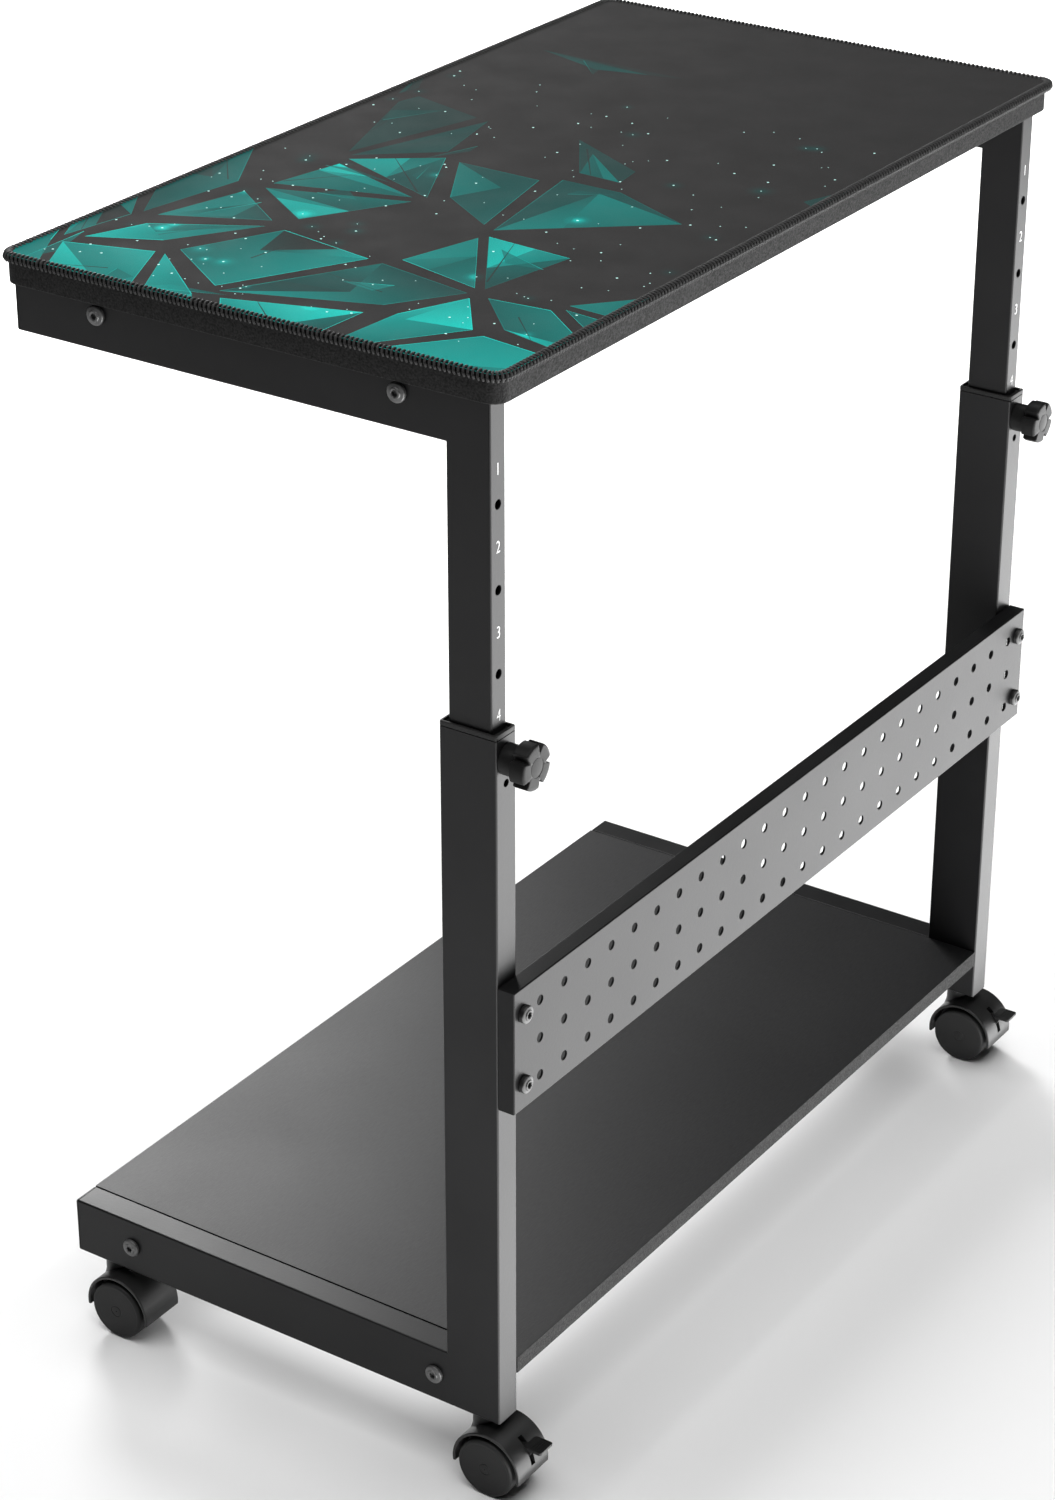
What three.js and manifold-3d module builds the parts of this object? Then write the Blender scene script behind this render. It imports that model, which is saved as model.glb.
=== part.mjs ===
// Height-adjustable stand on casters for a computer tower, with a small desktop above the tower.
// Millimetres, +Z up. The stand is drawn with x = 0 at the outer faces of its posts and y = 0 at the
// front face of its front frame, then the whole group is moved so that the origin is on the floor,
// midway between the outermost points.
import * as THREE from "three";
import { mergeVertices } from "three/addons/utils/BufferGeometryUtils.js";
import Module from "manifold-3d";

const wasm = await Module();
wasm.setup();

// ---------------------------------------------------------------- driving dimensions

const GAP = 0.3; // clearance between pieces that touch on the real stand
const BITE = 0.5; // depth that two solids share where they are joined into one
const ONE_WALL = 10; // length of a cutting tool that drills a single wall
const THROUGH = 60; // length of a cutting tool that goes right through a piece

const FRAME_WIDTH = 344; // X, open side to post side
const FRAME_DEPTH = 650; // Y, front frame to rear frame
const LOWER_Z = 52.2; // underside of the lower frame

const OUTER_TUBE = { wide: 40, thick: 20, wall: 1.5, radius: 2 };
const INNER_TUBE = { wide: 30, thick: 15, wall: 1.5, radius: 2 };
const CROSSBAR = { side: 15, wall: 1.5, radius: 2, endPlate: 3 };

const LOWER_POST_TOP = 533.6;
const FOOT_PLATE = 3; // welded into the foot of each lower post
const UPPER_POST_BOTTOM = 401.6;
const UPPER_FRAME_TOP = 739.6;
const APRON_OVERHANG = 2.5; // aprons run this far past the lower frame on the open side

const BASE_BOARD_THICK = 12;
// How far the top board runs past the frame, and the mat past the top board.
const TOP_BOARD = { pastLeft: 7.5, pastRight: 4, pastEnds: 2, thick: 15, corner: 10 };
const MAT = { pastLeft: 2, pastRight: 4.5, pastEnds: 4, thick: 4, corner: 12 };

const LOCK_HEIGHT = 519.6; // axis of the locking knobs
const LOCK_PITCH = 52.2; // spacing of the height holes
const LOCK_HOLES = 4;
const LOCK_HOLE_R = 3;
const PILOT_DROP = 16; // small hole below each knob
const PILOT_R = 2.5;

const SLEEVE = { flange: 3.3, liner: 9, fit: 0.3 };
const CAP = { flange: 1.7, plug: 10 };

const GUARD = { bottom: 286.6, height: 84.5, depth: 12, sheet: 1.5 };
const GUARD_HOLES = { columns: 24, rows: 3, pitch: 26.05, r: 3.25, firstY: 27.5, midZ: 327.9 };
const GUARD_SCREW = { fromEnd: 10, lowZ: 304.6, highZ: 353.3, intoPost: 3.5 };

const LOWER_SCREW_X = [-296.2, -49];
const APRON_SCREW_X = [-283.5, -67];
const PAST_TUBE = 12; // a rail screw's shank beyond its rail

// Screws and the holes for them have the same number of sides, so the clearance is even.
const BUTTON = { headR: 6.2, headH: 3.4, socketR: 2.3, socketDeep: 2, shankR: 3, sides: 8 };
const GUARD_BUTTON = { headR: 5.8, headH: 4.2, socketR: 2, socketDeep: 2, shankR: 2.5, sides: 8 };

const KNOB = {
  hubR: 9.7,
  hubLong: 11,
  headR: 14.4,
  notchR: 10.6,
  reach: 21.5,
  lobes: 5,
  lobeShare: 0.72, // of the pitch from one lobe to the next
};
const KNOB_BOLT = { r: 3, inHub: 8, tip: 4.7 };

const WHEEL = { r: 20.7, sides: 24, width: 13.1, bore: 2.7, bevel: 1.6 };
const HOOD = { r: 25.5, thick: 2.2, width: 34, endZ: 16.5 };
const WEB_WIDTH = 9; // between the two wheels of a caster
const WHEEL_TRACK = 36; // over both wheels of a caster
const CASTER_TRAIL = 12; // wheel axle ahead of the swivel axis
const CASTER_STEM_X = { left: -319, right: -18 };
const STEM = { r: 4, tipR: 3, tipZ: 30, shoulderZ: 41, topZ: 68, nutR: 6.5, nutH: 6 };
const NECK = { r: 7.5, topZ: 51.4, root: 14 }; // its root is above the axle, inside the hood's bore
const AXLE_PIN = { r: 2.4, inset: 2 }; // its ends are inset from the wheels' faces

// Brake lever: its pivot from the swivel axis and the floor, and its reach from the pivot.
const PIVOT = { x: 26, z: 31 };
const LEVER = { reach: 21.5, armWide: 3, pedalWide: 15, pedalThick: 2, pinR: 2 };
const LEVER_SLOT = { wide: 4, high: 18, long: 40, behind: 6, rise: 2 }; // placed from the pivot

// ---------------------------------------------------------------- worked out from them

const LOWER_TOP = LOWER_Z + OUTER_TUBE.wide;
const BASE_BOARD_Z = LOWER_TOP - BASE_BOARD_THICK;
const LOWER_RAIL_Z = LOWER_Z + OUTER_TUBE.wide / 2;
const LOWER_CROSSBAR_Z = BASE_BOARD_Z - CROSSBAR.side / 2 - GAP;
const APRON_BOTTOM = UPPER_FRAME_TOP - INNER_TUBE.wide;
const TOP_BOARD_TOP = UPPER_FRAME_TOP + TOP_BOARD.thick;
const TUBE_MID_Y = OUTER_TUBE.thick / 2; // both tube sizes share this mid plane
const POST_X = -OUTER_TUBE.wide / 2;
const AXLE_Z = WHEEL.r * Math.cos(Math.PI / WHEEL.sides); // a wheel's flat is on the floor
const PEDAL_TIP = CASTER_STEM_X.right + PIVOT.x + LEVER.reach;
const BOX_LOW_X = -FRAME_WIDTH - TOP_BOARD.pastLeft - MAT.pastLeft;
const CENTRE_X = (BOX_LOW_X + PEDAL_TIP) / 2;
const CENTRE_Y = FRAME_DEPTH / 2;

// ---------------------------------------------------------------- materials

const finish = (color, roughness, metalness) =>
  new THREE.MeshStandardMaterial({ color, roughness, metalness });

const paint = { frame: 0x2a2a2a, board: 0x2b2b2c, mat: 0x3c3f40, plastic: 0x1b1b1b };
const frameSteel = () => finish(paint.frame, 0.5, 0.35);
const laminate = () => finish(paint.board, 0.6, 0);
const matCloth = () => finish(paint.mat, 0.9, 0);
const plastic = () => finish(paint.plastic, 0.35, 0);
const boltSteel = () => finish(0x4b4b4b, 0.45, 0.7);
const axleSteel = () => finish(0x8a8a8a, 0.35, 0.9);
const tread = () => finish(0x232323, 0.6, 0);

// ---------------------------------------------------------------- solids

function solid(geometry) {
  const bare = geometry.clone();
  bare.deleteAttribute("normal");
  bare.deleteAttribute("uv");
  const welded = mergeVertices(bare, 1e-4);
  return new wasm.Manifold(
    new wasm.Mesh({
      numProp: 3,
      vertProperties: new Float32Array(welded.attributes.position.array),
      triVerts: new Uint32Array(welded.index.array),
    }),
  );
}

function geometryOf(manifold) {
  const mesh = manifold.getMesh();
  const geometry = new THREE.BufferGeometry();
  geometry.setAttribute("position", new THREE.BufferAttribute(mesh.vertProperties, 3));
  geometry.setIndex(new THREE.BufferAttribute(mesh.triVerts, 1));
  return geometry;
}

function join(...geometries) {
  return geometryOf(geometries.map(solid).reduce((whole, piece) => whole.add(piece)));
}

function cut(geometry, ...tools) {
  return geometryOf(tools.map(solid).reduce((whole, tool) => whole.subtract(tool), solid(geometry)));
}

function roundedRect(width, height, radius, Outline = THREE.Shape) {
  const outline = new Outline();
  const x = width / 2 - radius;
  const y = height / 2 - radius;
  outline.absarc(x, y, radius, 0, Math.PI / 2);
  outline.absarc(-x, y, radius, Math.PI / 2, Math.PI);
  outline.absarc(-x, -y, radius, Math.PI, 1.5 * Math.PI);
  outline.absarc(x, -y, radius, 1.5 * Math.PI, 2 * Math.PI);
  return outline;
}

// Extrudes a shape along +Z, centred on the origin.
function slab(shape, depth, curveSegments = 2) {
  const geometry = new THREE.ExtrudeGeometry(shape, { depth, curveSegments, bevelEnabled: false });
  return geometry.translate(0, 0, -depth / 2);
}

// Turns a piece drawn along Z so that it runs along X, Y or Z.
const turn = {
  x: (geometry) => geometry.rotateY(Math.PI / 2), // drawn x goes to -Z, drawn y stays Y
  y: (geometry) => geometry.rotateX(-Math.PI / 2), // drawn x stays X, drawn y goes to -Z
  z: (geometry) => geometry,
};

// Rectangular tube with rounded corners, open at both ends and centred on the origin.
function boxTube(axis, drawnX, drawnY, length, { wall, radius }) {
  const shape = roundedRect(drawnX, drawnY, radius);
  const bore = roundedRect(drawnX - 2 * wall, drawnY - 2 * wall, radius - wall, THREE.Path);
  shape.holes.push(bore);
  return turn[axis](slab(shape, length));
}

function rod(axis, radius, length, sides = 8) {
  const geometry = new THREE.CylinderGeometry(radius, radius, length, sides).rotateX(Math.PI / 2);
  return turn[axis](geometry);
}

function box(x, y, z) {
  return new THREE.BoxGeometry(x, y, z);
}

// ---------------------------------------------------------------- scene graph

const cart = new THREE.Group();
cart.position.set(-CENTRE_X, -CENTRE_Y, 0);

function add(name, geometry, material, x, y, z, parent = cart) {
  const mesh = new THREE.Mesh(geometry, material);
  mesh.name = name;
  mesh.position.set(x, y, z);
  parent.add(mesh);
  return mesh;
}

// The front and rear frames mirror each other. "out" points away from the stand.
const FRAMES = [
  { end: "front", y: TUBE_MID_Y, out: -1 },
  { end: "rear", y: FRAME_DEPTH - TUBE_MID_Y, out: 1 },
];

// ---------------------------------------------------------------- fasteners

// Button-head socket screw along Z: the head's seat is at z = 0 and the shank runs down.
function buttonScrew({ headR, headH, socketR, socketDeep, shankR, sides }, shankLong) {
  const profile = [
    [0, -shankLong],
    [shankR, -shankLong],
    [shankR, 0],
    [headR, 0],
    [headR, headH * 0.3],
    [headR * 0.68, headH],
    [0, headH],
  ].map(([r, y]) => new THREE.Vector2(r, y));
  const body = new THREE.LatheGeometry(profile, sides).rotateX(Math.PI / 2);
  const socket = new THREE.CylinderGeometry(socketR, socketR, 2 * socketDeep, 6);
  return cut(body, socket.rotateX(Math.PI / 2).translate(0, 0, headH));
}

// ---------------------------------------------------------------- lower frame

function lowerRail() {
  const screwDrop = LOWER_CROSSBAR_Z - LOWER_RAIL_Z;
  const start = -FRAME_WIDTH + CAP.flange + GAP;
  const end = -OUTER_TUBE.wide - GAP;
  const middle = (start + end) / 2;
  const tube = boxTube("x", OUTER_TUBE.wide, OUTER_TUBE.thick, end - start, OUTER_TUBE);
  const screwHoles = LOWER_SCREW_X.map((x) =>
    rod("y", BUTTON.shankR + GAP, THROUGH).translate(x - middle, 0, screwDrop),
  );
  const stemHole = rod("z", STEM.r + GAP, ONE_WALL).translate(
    CASTER_STEM_X.left - middle,
    0,
    -OUTER_TUBE.wide / 2,
  );
  return { geometry: cut(tube, ...screwHoles, stemHole), middle };
}

// Lower post: a tube with a welded foot plate that takes the caster stem.
function lowerPost() {
  const height = LOWER_POST_TOP - LOWER_Z;
  const tube = boxTube("z", OUTER_TUBE.wide, OUTER_TUBE.thick, height, OUTER_TUBE);
  const { wide, thick, radius } = OUTER_TUBE;
  const plateShape = roundedRect(wide - 2 * BITE, thick - 2 * BITE, radius - BITE);
  const plate = slab(plateShape, FOOT_PLATE).translate(0, 0, (FOOT_PLATE - height) / 2);
  const middle = LOWER_Z + height / 2;
  const stemX = CASTER_STEM_X.right - POST_X;
  const stemHole = rod("z", STEM.r + GAP, ONE_WALL).translate(stemX, 0, -height / 2);
  const sideHole = (r, z) => rod("x", r, ONE_WALL).translate(wide / 2, 0, z - middle);
  const holes = [
    sideHole(KNOB_BOLT.r + GAP, LOCK_HEIGHT),
    sideHole(PILOT_R, LOCK_HEIGHT - PILOT_DROP),
    sideHole(GUARD_BUTTON.shankR + GAP, GUARD_SCREW.lowZ),
    sideHole(GUARD_BUTTON.shankR + GAP, GUARD_SCREW.highZ),
  ];
  return { geometry: cut(join(tube, plate), stemHole, ...holes), middle };
}

// Plastic plug that closes the end of a tube, with its flange at -X.
function endCap(tube) {
  const flange = turn.x(slab(roundedRect(tube.wide, tube.thick, tube.radius), CAP.flange));
  const inside = 2 * (tube.wall + GAP);
  const plug = box(CAP.plug, tube.thick - inside, tube.wide - inside);
  return join(flange, plug.translate((CAP.plug + CAP.flange) / 2 - BITE, 0, 0));
}

// Plastic sleeve in the mouth of a lower post: a flange on top and a short liner inside.
function postSleeve() {
  const flange = slab(roundedRect(OUTER_TUBE.wide, OUTER_TUBE.thick, OUTER_TUBE.radius), SLEEVE.flange);
  const inside = 2 * (OUTER_TUBE.wall + GAP);
  const liner = box(OUTER_TUBE.wide - inside, OUTER_TUBE.thick - inside, SLEEVE.liner);
  const down = BITE - (SLEEVE.flange + SLEEVE.liner) / 2;
  const mouth = 2 * SLEEVE.fit;
  const throat = box(INNER_TUBE.wide + mouth, INNER_TUBE.thick + mouth, THROUGH);
  return cut(join(flange, liner.translate(0, 0, down)), throat);
}

// Crossbar along Y: a square tube with a drilled plate welded in each end.
function crossbar(length) {
  const { side, radius, endPlate } = CROSSBAR;
  const tube = boxTube("y", side, side, length, CROSSBAR);
  const plates = [-1, 1].map((end) =>
    box(side - radius, endPlate, side - radius).translate(0, (end * (length - endPlate)) / 2, 0),
  );
  return cut(join(tube, ...plates), rod("y", BUTTON.shankR + GAP, 2 * length));
}

const OUTWARD_TURN = { "-1": Math.PI / 2, 1: -Math.PI / 2 };
const SIDES = ["left", "right"];

for (const { end, y, out } of FRAMES) {
  const rail = lowerRail();
  add(`${end}_lower_rail`, rail.geometry, frameSteel(), rail.middle, y, LOWER_RAIL_Z);
  const post = lowerPost();
  add(`${end}_lower_post`, post.geometry, frameSteel(), POST_X, y, post.middle);
  const capX = -FRAME_WIDTH + CAP.flange / 2;
  add(`${end}_lower_end_cap`, endCap(OUTER_TUBE), plastic(), capX, y, LOWER_RAIL_Z);
  const sleeveZ = LOWER_POST_TOP + GAP + SLEEVE.flange / 2;
  add(`${end}_post_sleeve`, postSleeve(), plastic(), POST_X, y, sleeveZ);
  LOWER_SCREW_X.forEach((x, side) => {
    const name = `${end}_lower_screw_${SIDES[side]}`;
    const seat = y + out * (OUTER_TUBE.thick / 2 + GAP);
    const screw = buttonScrew(BUTTON, OUTER_TUBE.thick + PAST_TUBE);
    add(name, screw, boltSteel(), x, seat, LOWER_CROSSBAR_Z).rotation.x = OUTWARD_TURN[out];
  });
}

const BASE_DEPTH = FRAME_DEPTH - 2 * (OUTER_TUBE.thick + GAP);
const boardZ = BASE_BOARD_Z + BASE_BOARD_THICK / 2;
const baseBoard = box(FRAME_WIDTH, BASE_DEPTH, BASE_BOARD_THICK);
add("base_board", baseBoard, laminate(), -FRAME_WIDTH / 2, CENTRE_Y, boardZ);

LOWER_SCREW_X.forEach((x, side) => {
  add(`lower_crossbar_${SIDES[side]}`, crossbar(BASE_DEPTH), frameSteel(), x, CENTRE_Y, LOWER_CROSSBAR_Z);
});

// ---------------------------------------------------------------- guard panel

// Sheet pan with returned edges, its outer face at x = depth, drilled with a grid of holes.
function guardPanel() {
  const { height, depth, sheet } = GUARD;
  const pan = box(depth - GAP, FRAME_DEPTH, height).translate((depth + GAP) / 2, 0, 0);
  const recess = box(depth, FRAME_DEPTH - 2 * sheet, height - 2 * sheet);
  const middle = GUARD.bottom + height / 2;
  const hole = (r, sides, y, z) =>
    rod("x", r, ONE_WALL, sides).translate(depth, y - CENTRE_Y, z - middle);
  const holes = [];
  for (let column = 0; column < GUARD_HOLES.columns; column++) {
    for (let row = 0; row < GUARD_HOLES.rows; row++) {
      const y = GUARD_HOLES.firstY + column * GUARD_HOLES.pitch;
      const z = GUARD_HOLES.midZ + (row - 1) * GUARD_HOLES.pitch;
      holes.push(hole(GUARD_HOLES.r, 6, y, z));
    }
  }
  for (const y of [GUARD_SCREW.fromEnd, FRAME_DEPTH - GUARD_SCREW.fromEnd]) {
    for (const z of [GUARD_SCREW.lowZ, GUARD_SCREW.highZ]) {
      holes.push(hole(GUARD_BUTTON.shankR + GAP, GUARD_BUTTON.sides, y, z));
    }
  }
  return { geometry: cut(pan, recess.translate((depth - 2 * sheet) / 2, 0, 0), ...holes), middle };
}

const guard = guardPanel();
add("guard_panel", guard.geometry, frameSteel(), 0, CENTRE_Y, guard.middle);

for (const { end, y } of FRAMES) {
  for (const [level, z] of [["low", GUARD_SCREW.lowZ], ["high", GUARD_SCREW.highZ]]) {
    const name = `${end}_guard_screw_${level}`;
    const seat = GUARD.depth + GAP;
    const screw = buttonScrew(GUARD_BUTTON, seat + GUARD_SCREW.intoPost);
    add(name, screw, boltSteel(), seat, y, z).rotation.y = Math.PI / 2;
  }
}

// ---------------------------------------------------------------- upper frame and desktop

function upperPost() {
  const top = UPPER_FRAME_TOP - GAP;
  const height = top - UPPER_POST_BOTTOM;
  const middle = UPPER_POST_BOTTOM + height / 2;
  const tube = boxTube("z", INNER_TUBE.wide, INNER_TUBE.thick, height, INNER_TUBE);
  const holes = [];
  for (let step = 0; step < LOCK_HOLES; step++) {
    const z = LOCK_HEIGHT + step * LOCK_PITCH - middle;
    holes.push(rod("x", LOCK_HOLE_R, ONE_WALL).translate(INNER_TUBE.wide / 2, 0, z));
  }
  return { geometry: cut(tube, ...holes), middle };
}

const APRON_MID_Z = APRON_BOTTOM + INNER_TUBE.wide / 2 - GAP;
const UPPER_CROSSBAR_Z = UPPER_FRAME_TOP - CROSSBAR.side / 2 - GAP;
const APRON_RIGHT = POST_X - INNER_TUBE.wide / 2;
const APRON_LEFT = -FRAME_WIDTH - APRON_OVERHANG;

function apronRail() {
  const start = APRON_LEFT + CAP.flange + GAP;
  const end = APRON_RIGHT - GAP;
  const middle = (start + end) / 2;
  const tube = boxTube("x", INNER_TUBE.wide, INNER_TUBE.thick, end - start, INNER_TUBE);
  const screwRise = UPPER_CROSSBAR_Z - APRON_MID_Z;
  const holes = APRON_SCREW_X.map((x) =>
    rod("y", BUTTON.shankR + GAP, THROUGH).translate(x - middle, 0, screwRise),
  );
  return { geometry: cut(tube, ...holes), middle };
}

for (const { end, y, out } of FRAMES) {
  const post = upperPost();
  add(`${end}_upper_post`, post.geometry, frameSteel(), POST_X, y, post.middle);
  const apron = apronRail();
  add(`${end}_apron_rail`, apron.geometry, frameSteel(), apron.middle, y, APRON_MID_Z);
  const capX = APRON_LEFT + CAP.flange / 2;
  add(`${end}_apron_end_cap`, endCap(INNER_TUBE), plastic(), capX, y, APRON_MID_Z);
  APRON_SCREW_X.forEach((x, side) => {
    const name = `${end}_apron_screw_${SIDES[side]}`;
    const seat = y + out * (INNER_TUBE.thick / 2 + GAP);
    const screw = buttonScrew(BUTTON, INNER_TUBE.thick + PAST_TUBE);
    add(name, screw, boltSteel(), x, seat, UPPER_CROSSBAR_Z).rotation.x = OUTWARD_TURN[out];
  });
}

const APRON_INSIDE = TUBE_MID_Y + INNER_TUBE.thick / 2 + GAP;
APRON_SCREW_X.forEach((x, side) => {
  const length = FRAME_DEPTH - 2 * APRON_INSIDE;
  add(`upper_crossbar_${SIDES[side]}`, crossbar(length), frameSteel(), x, CENTRE_Y, UPPER_CROSSBAR_Z);
});

const topLeft = -FRAME_WIDTH - TOP_BOARD.pastLeft;
const topRight = TOP_BOARD.pastRight;
const topDepth = FRAME_DEPTH + 2 * TOP_BOARD.pastEnds;
const topShape = roundedRect(topRight - topLeft, topDepth, TOP_BOARD.corner);
const topBoardX = (topLeft + topRight) / 2;
const topBoardZ = UPPER_FRAME_TOP + TOP_BOARD.thick / 2;
add("top_board", slab(topShape, TOP_BOARD.thick, 5), laminate(), topBoardX, CENTRE_Y, topBoardZ);

const matLeft = topLeft - MAT.pastLeft;
const matRight = topRight + MAT.pastRight;
const matShape = roundedRect(matRight - matLeft, topDepth + 2 * MAT.pastEnds, MAT.corner);
const matThick = MAT.thick - GAP;
const matX = (matLeft + matRight) / 2;
const matZ = TOP_BOARD_TOP + GAP + matThick / 2;
add("desk_mat", slab(matShape, matThick, 5), matCloth(), matX, CENTRE_Y, matZ);

// ---------------------------------------------------------------- locking knobs

// Star grip on a round hub, drawn along +Z from the post's side face.
function knobHead() {
  const { hubR, hubLong, headR, notchR, reach, lobes, lobeShare } = KNOB;
  const star = new THREE.Shape();
  const half = (Math.PI / lobes) * lobeShare;
  for (let lobe = 0; lobe < lobes; lobe++) {
    const angle = -Math.PI / 2 + (lobe * 2 * Math.PI) / lobes;
    const next = angle + (2 * Math.PI) / lobes - half;
    const valley = angle + Math.PI / lobes;
    const pull = 2 * notchR - headR * Math.cos(Math.PI / lobes - half);
    star.absarc(0, 0, headR, angle - half, angle + half);
    star.quadraticCurveTo(
      pull * Math.cos(valley),
      pull * Math.sin(valley),
      headR * Math.cos(next),
      headR * Math.sin(next),
    );
  }
  const head = slab(star, reach - hubLong, 4).translate(0, 0, (reach + hubLong) / 2);
  const hub = rod("z", hubR, hubLong, 16).translate(0, 0, hubLong / 2 + GAP);
  const bore = rod("z", KNOB_BOLT.r + GAP, 2 * (KNOB_BOLT.inHub + GAP));
  return turn.x(cut(join(head, hub), bore));
}

for (const { end, y } of FRAMES) {
  const knob = new THREE.Group();
  knob.position.set(0, y, LOCK_HEIGHT);
  cart.add(knob);
  add(`${end}_knob`, knobHead(), plastic(), 0, 0, 0, knob);
  const long = KNOB_BOLT.inHub + KNOB_BOLT.tip;
  const bolt = rod("x", KNOB_BOLT.r, long);
  add(`${end}_knob_bolt`, bolt, boltSteel(), (KNOB_BOLT.inHub - KNOB_BOLT.tip) / 2, 0, 0, knob);
}

// ---------------------------------------------------------------- casters

// Drawn with the swivel axis at x = 0, y = 0, the floor at z = 0 and the wheels towards +X.
const AXLE = { x: CASTER_TRAIL, z: AXLE_Z };

// Extrudes an outline drawn in the X-Z plane across the caster's width.
function acrossCaster(shape, width, segments = 12) {
  return slab(shape, width, segments).rotateX(Math.PI / 2);
}

function hoodShape() {
  const shape = new THREE.Shape();
  const below = Math.asin((AXLE.z - HOOD.endZ) / HOOD.r);
  shape.absarc(AXLE.x, AXLE.z, HOOD.r, -below, Math.PI + below, false);
  shape.absarc(AXLE.x, AXLE.z, HOOD.r - HOOD.thick, Math.PI + below, -below, true);
  return shape;
}

function webShape() {
  const shape = new THREE.Shape();
  const below = Math.asin((AXLE.z - HOOD.endZ) / HOOD.r);
  shape.absarc(AXLE.x, AXLE.z, HOOD.r - HOOD.thick / 2, -below, Math.PI + below, false);
  return shape;
}

function casterHousing(braked) {
  const hood = acrossCaster(hoodShape(), HOOD.width);
  const web = acrossCaster(webShape(), WEB_WIDTH);
  const neckLow = AXLE.z + NECK.root;
  const neck = rod("z", NECK.r, NECK.topZ - neckLow, 12).translate(0, 0, (NECK.topZ + neckLow) / 2);
  const wheelRoom = rod("y", HOOD.r - HOOD.thick / 2, THROUGH, 36).translate(AXLE.x, 0, AXLE.z);
  const drillDown = (r, z) => rod("z", r, THROUGH).translate(0, 0, z + THROUGH / 2);
  const tools = [
    drillDown(STEM.tipR + GAP, STEM.tipZ - GAP),
    drillDown(STEM.r + GAP, STEM.shoulderZ - GAP),
    rod("y", AXLE_PIN.r + GAP, THROUGH).translate(AXLE.x, 0, AXLE.z),
  ];
  if (braked) {
    const { wide, high, long, behind, rise } = LEVER_SLOT;
    tools.push(box(long, wide, high).translate(PIVOT.x - behind + long / 2, 0, PIVOT.z + rise));
    tools.push(rod("y", LEVER.pinR + GAP, THROUGH).translate(PIVOT.x, 0, PIVOT.z));
  }
  return cut(join(hood, web, cut(neck, wheelRoom)), ...tools);
}

function casterStem() {
  const { r, tipR, tipZ, shoulderZ, topZ, nutR, nutH } = STEM;
  const shaft = rod("z", r, topZ - shoulderZ).translate(0, 0, (topZ + shoulderZ) / 2);
  const tip = rod("z", tipR, topZ - tipZ).translate(0, 0, (topZ + tipZ) / 2);
  const nutLow = LOWER_Z + FOOT_PLATE + 2 * GAP;
  const nut = rod("z", nutR, nutH, 6).translate(0, 0, nutLow + nutH / 2);
  return join(shaft, tip, nut);
}

// One wheel, revolved about Y, with its outer disc face at -Y and a flat side of its rim down.
function casterWheel() {
  const { r, sides, width, bore, bevel } = WHEEL;
  const half = width / 2;
  const profile = [
    [bore, -half],
    [r - bevel, -half],
    [r, -half + bevel],
    [r, half],
    [bore, half],
    [bore, -half],
  ].map(([radius, y]) => new THREE.Vector2(radius, y));
  return new THREE.LatheGeometry(profile, sides, Math.PI / sides);
}

// Foot brake: an arm between the wheels on its own pivot pin, with a pedal outside the hood.
function brakeLever() {
  const arm = new THREE.Shape();
  arm.moveTo(-4, -3);
  arm.lineTo(3, -4.5);
  arm.lineTo(8, -2);
  arm.lineTo(13, 6.5);
  arm.lineTo(13, 8.6);
  arm.lineTo(8, 8.6);
  arm.lineTo(-3, 4);
  const pedal = new THREE.Shape();
  pedal.moveTo(9.5, 7.5);
  pedal.lineTo(LEVER.reach, 8);
  pedal.lineTo(LEVER.reach, 8 + LEVER.pedalThick);
  pedal.lineTo(9.5, 7.5 + LEVER.pedalThick);
  const pin = rod("y", LEVER.pinR, WEB_WIDTH - 2 * GAP);
  return join(acrossCaster(arm, LEVER.armWide), acrossCaster(pedal, LEVER.pedalWide), pin);
}

for (const { end, y } of FRAMES) {
  for (const side of SIDES) {
    const caster = new THREE.Group();
    caster.position.set(CASTER_STEM_X[side], y, 0);
    cart.add(caster);
    const name = `${end}_${side}`;
    const braked = side === "right";
    add(`${name}_caster_housing`, casterHousing(braked), plastic(), 0, 0, 0, caster);
    add(`${name}_caster_stem`, casterStem(), axleSteel(), 0, 0, 0, caster);
    const axle = rod("y", AXLE_PIN.r, WHEEL_TRACK - 2 * AXLE_PIN.inset);
    add(`${name}_axle`, axle, axleSteel(), AXLE.x, 0, AXLE.z, caster);
    const wheelY = (WHEEL_TRACK - WHEEL.width) / 2;
    add(`${name}_wheel_front`, casterWheel(), tread(), AXLE.x, -wheelY, AXLE.z, caster);
    const backWheel = casterWheel().rotateZ(Math.PI);
    add(`${name}_wheel_rear`, backWheel, tread(), AXLE.x, wheelY, AXLE.z, caster);
    if (braked) {
      add(`${name}_brake_lever`, brakeLever(), plastic(), PIVOT.x, 0, PIVOT.z, caster);
    }
  }
}

export default cart;
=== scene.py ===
"""Looks of a wheeled, height-adjustable computer tower stand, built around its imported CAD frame.

Metres, +Z up. The stand's posts, guard and knobs are on the +X side and its front faces -Y.
"""
import math
import random

import bmesh
import bpy
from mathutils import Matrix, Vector
from mathutils.geometry import delaunay_2d_cdt, tessellate_polygon


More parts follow.
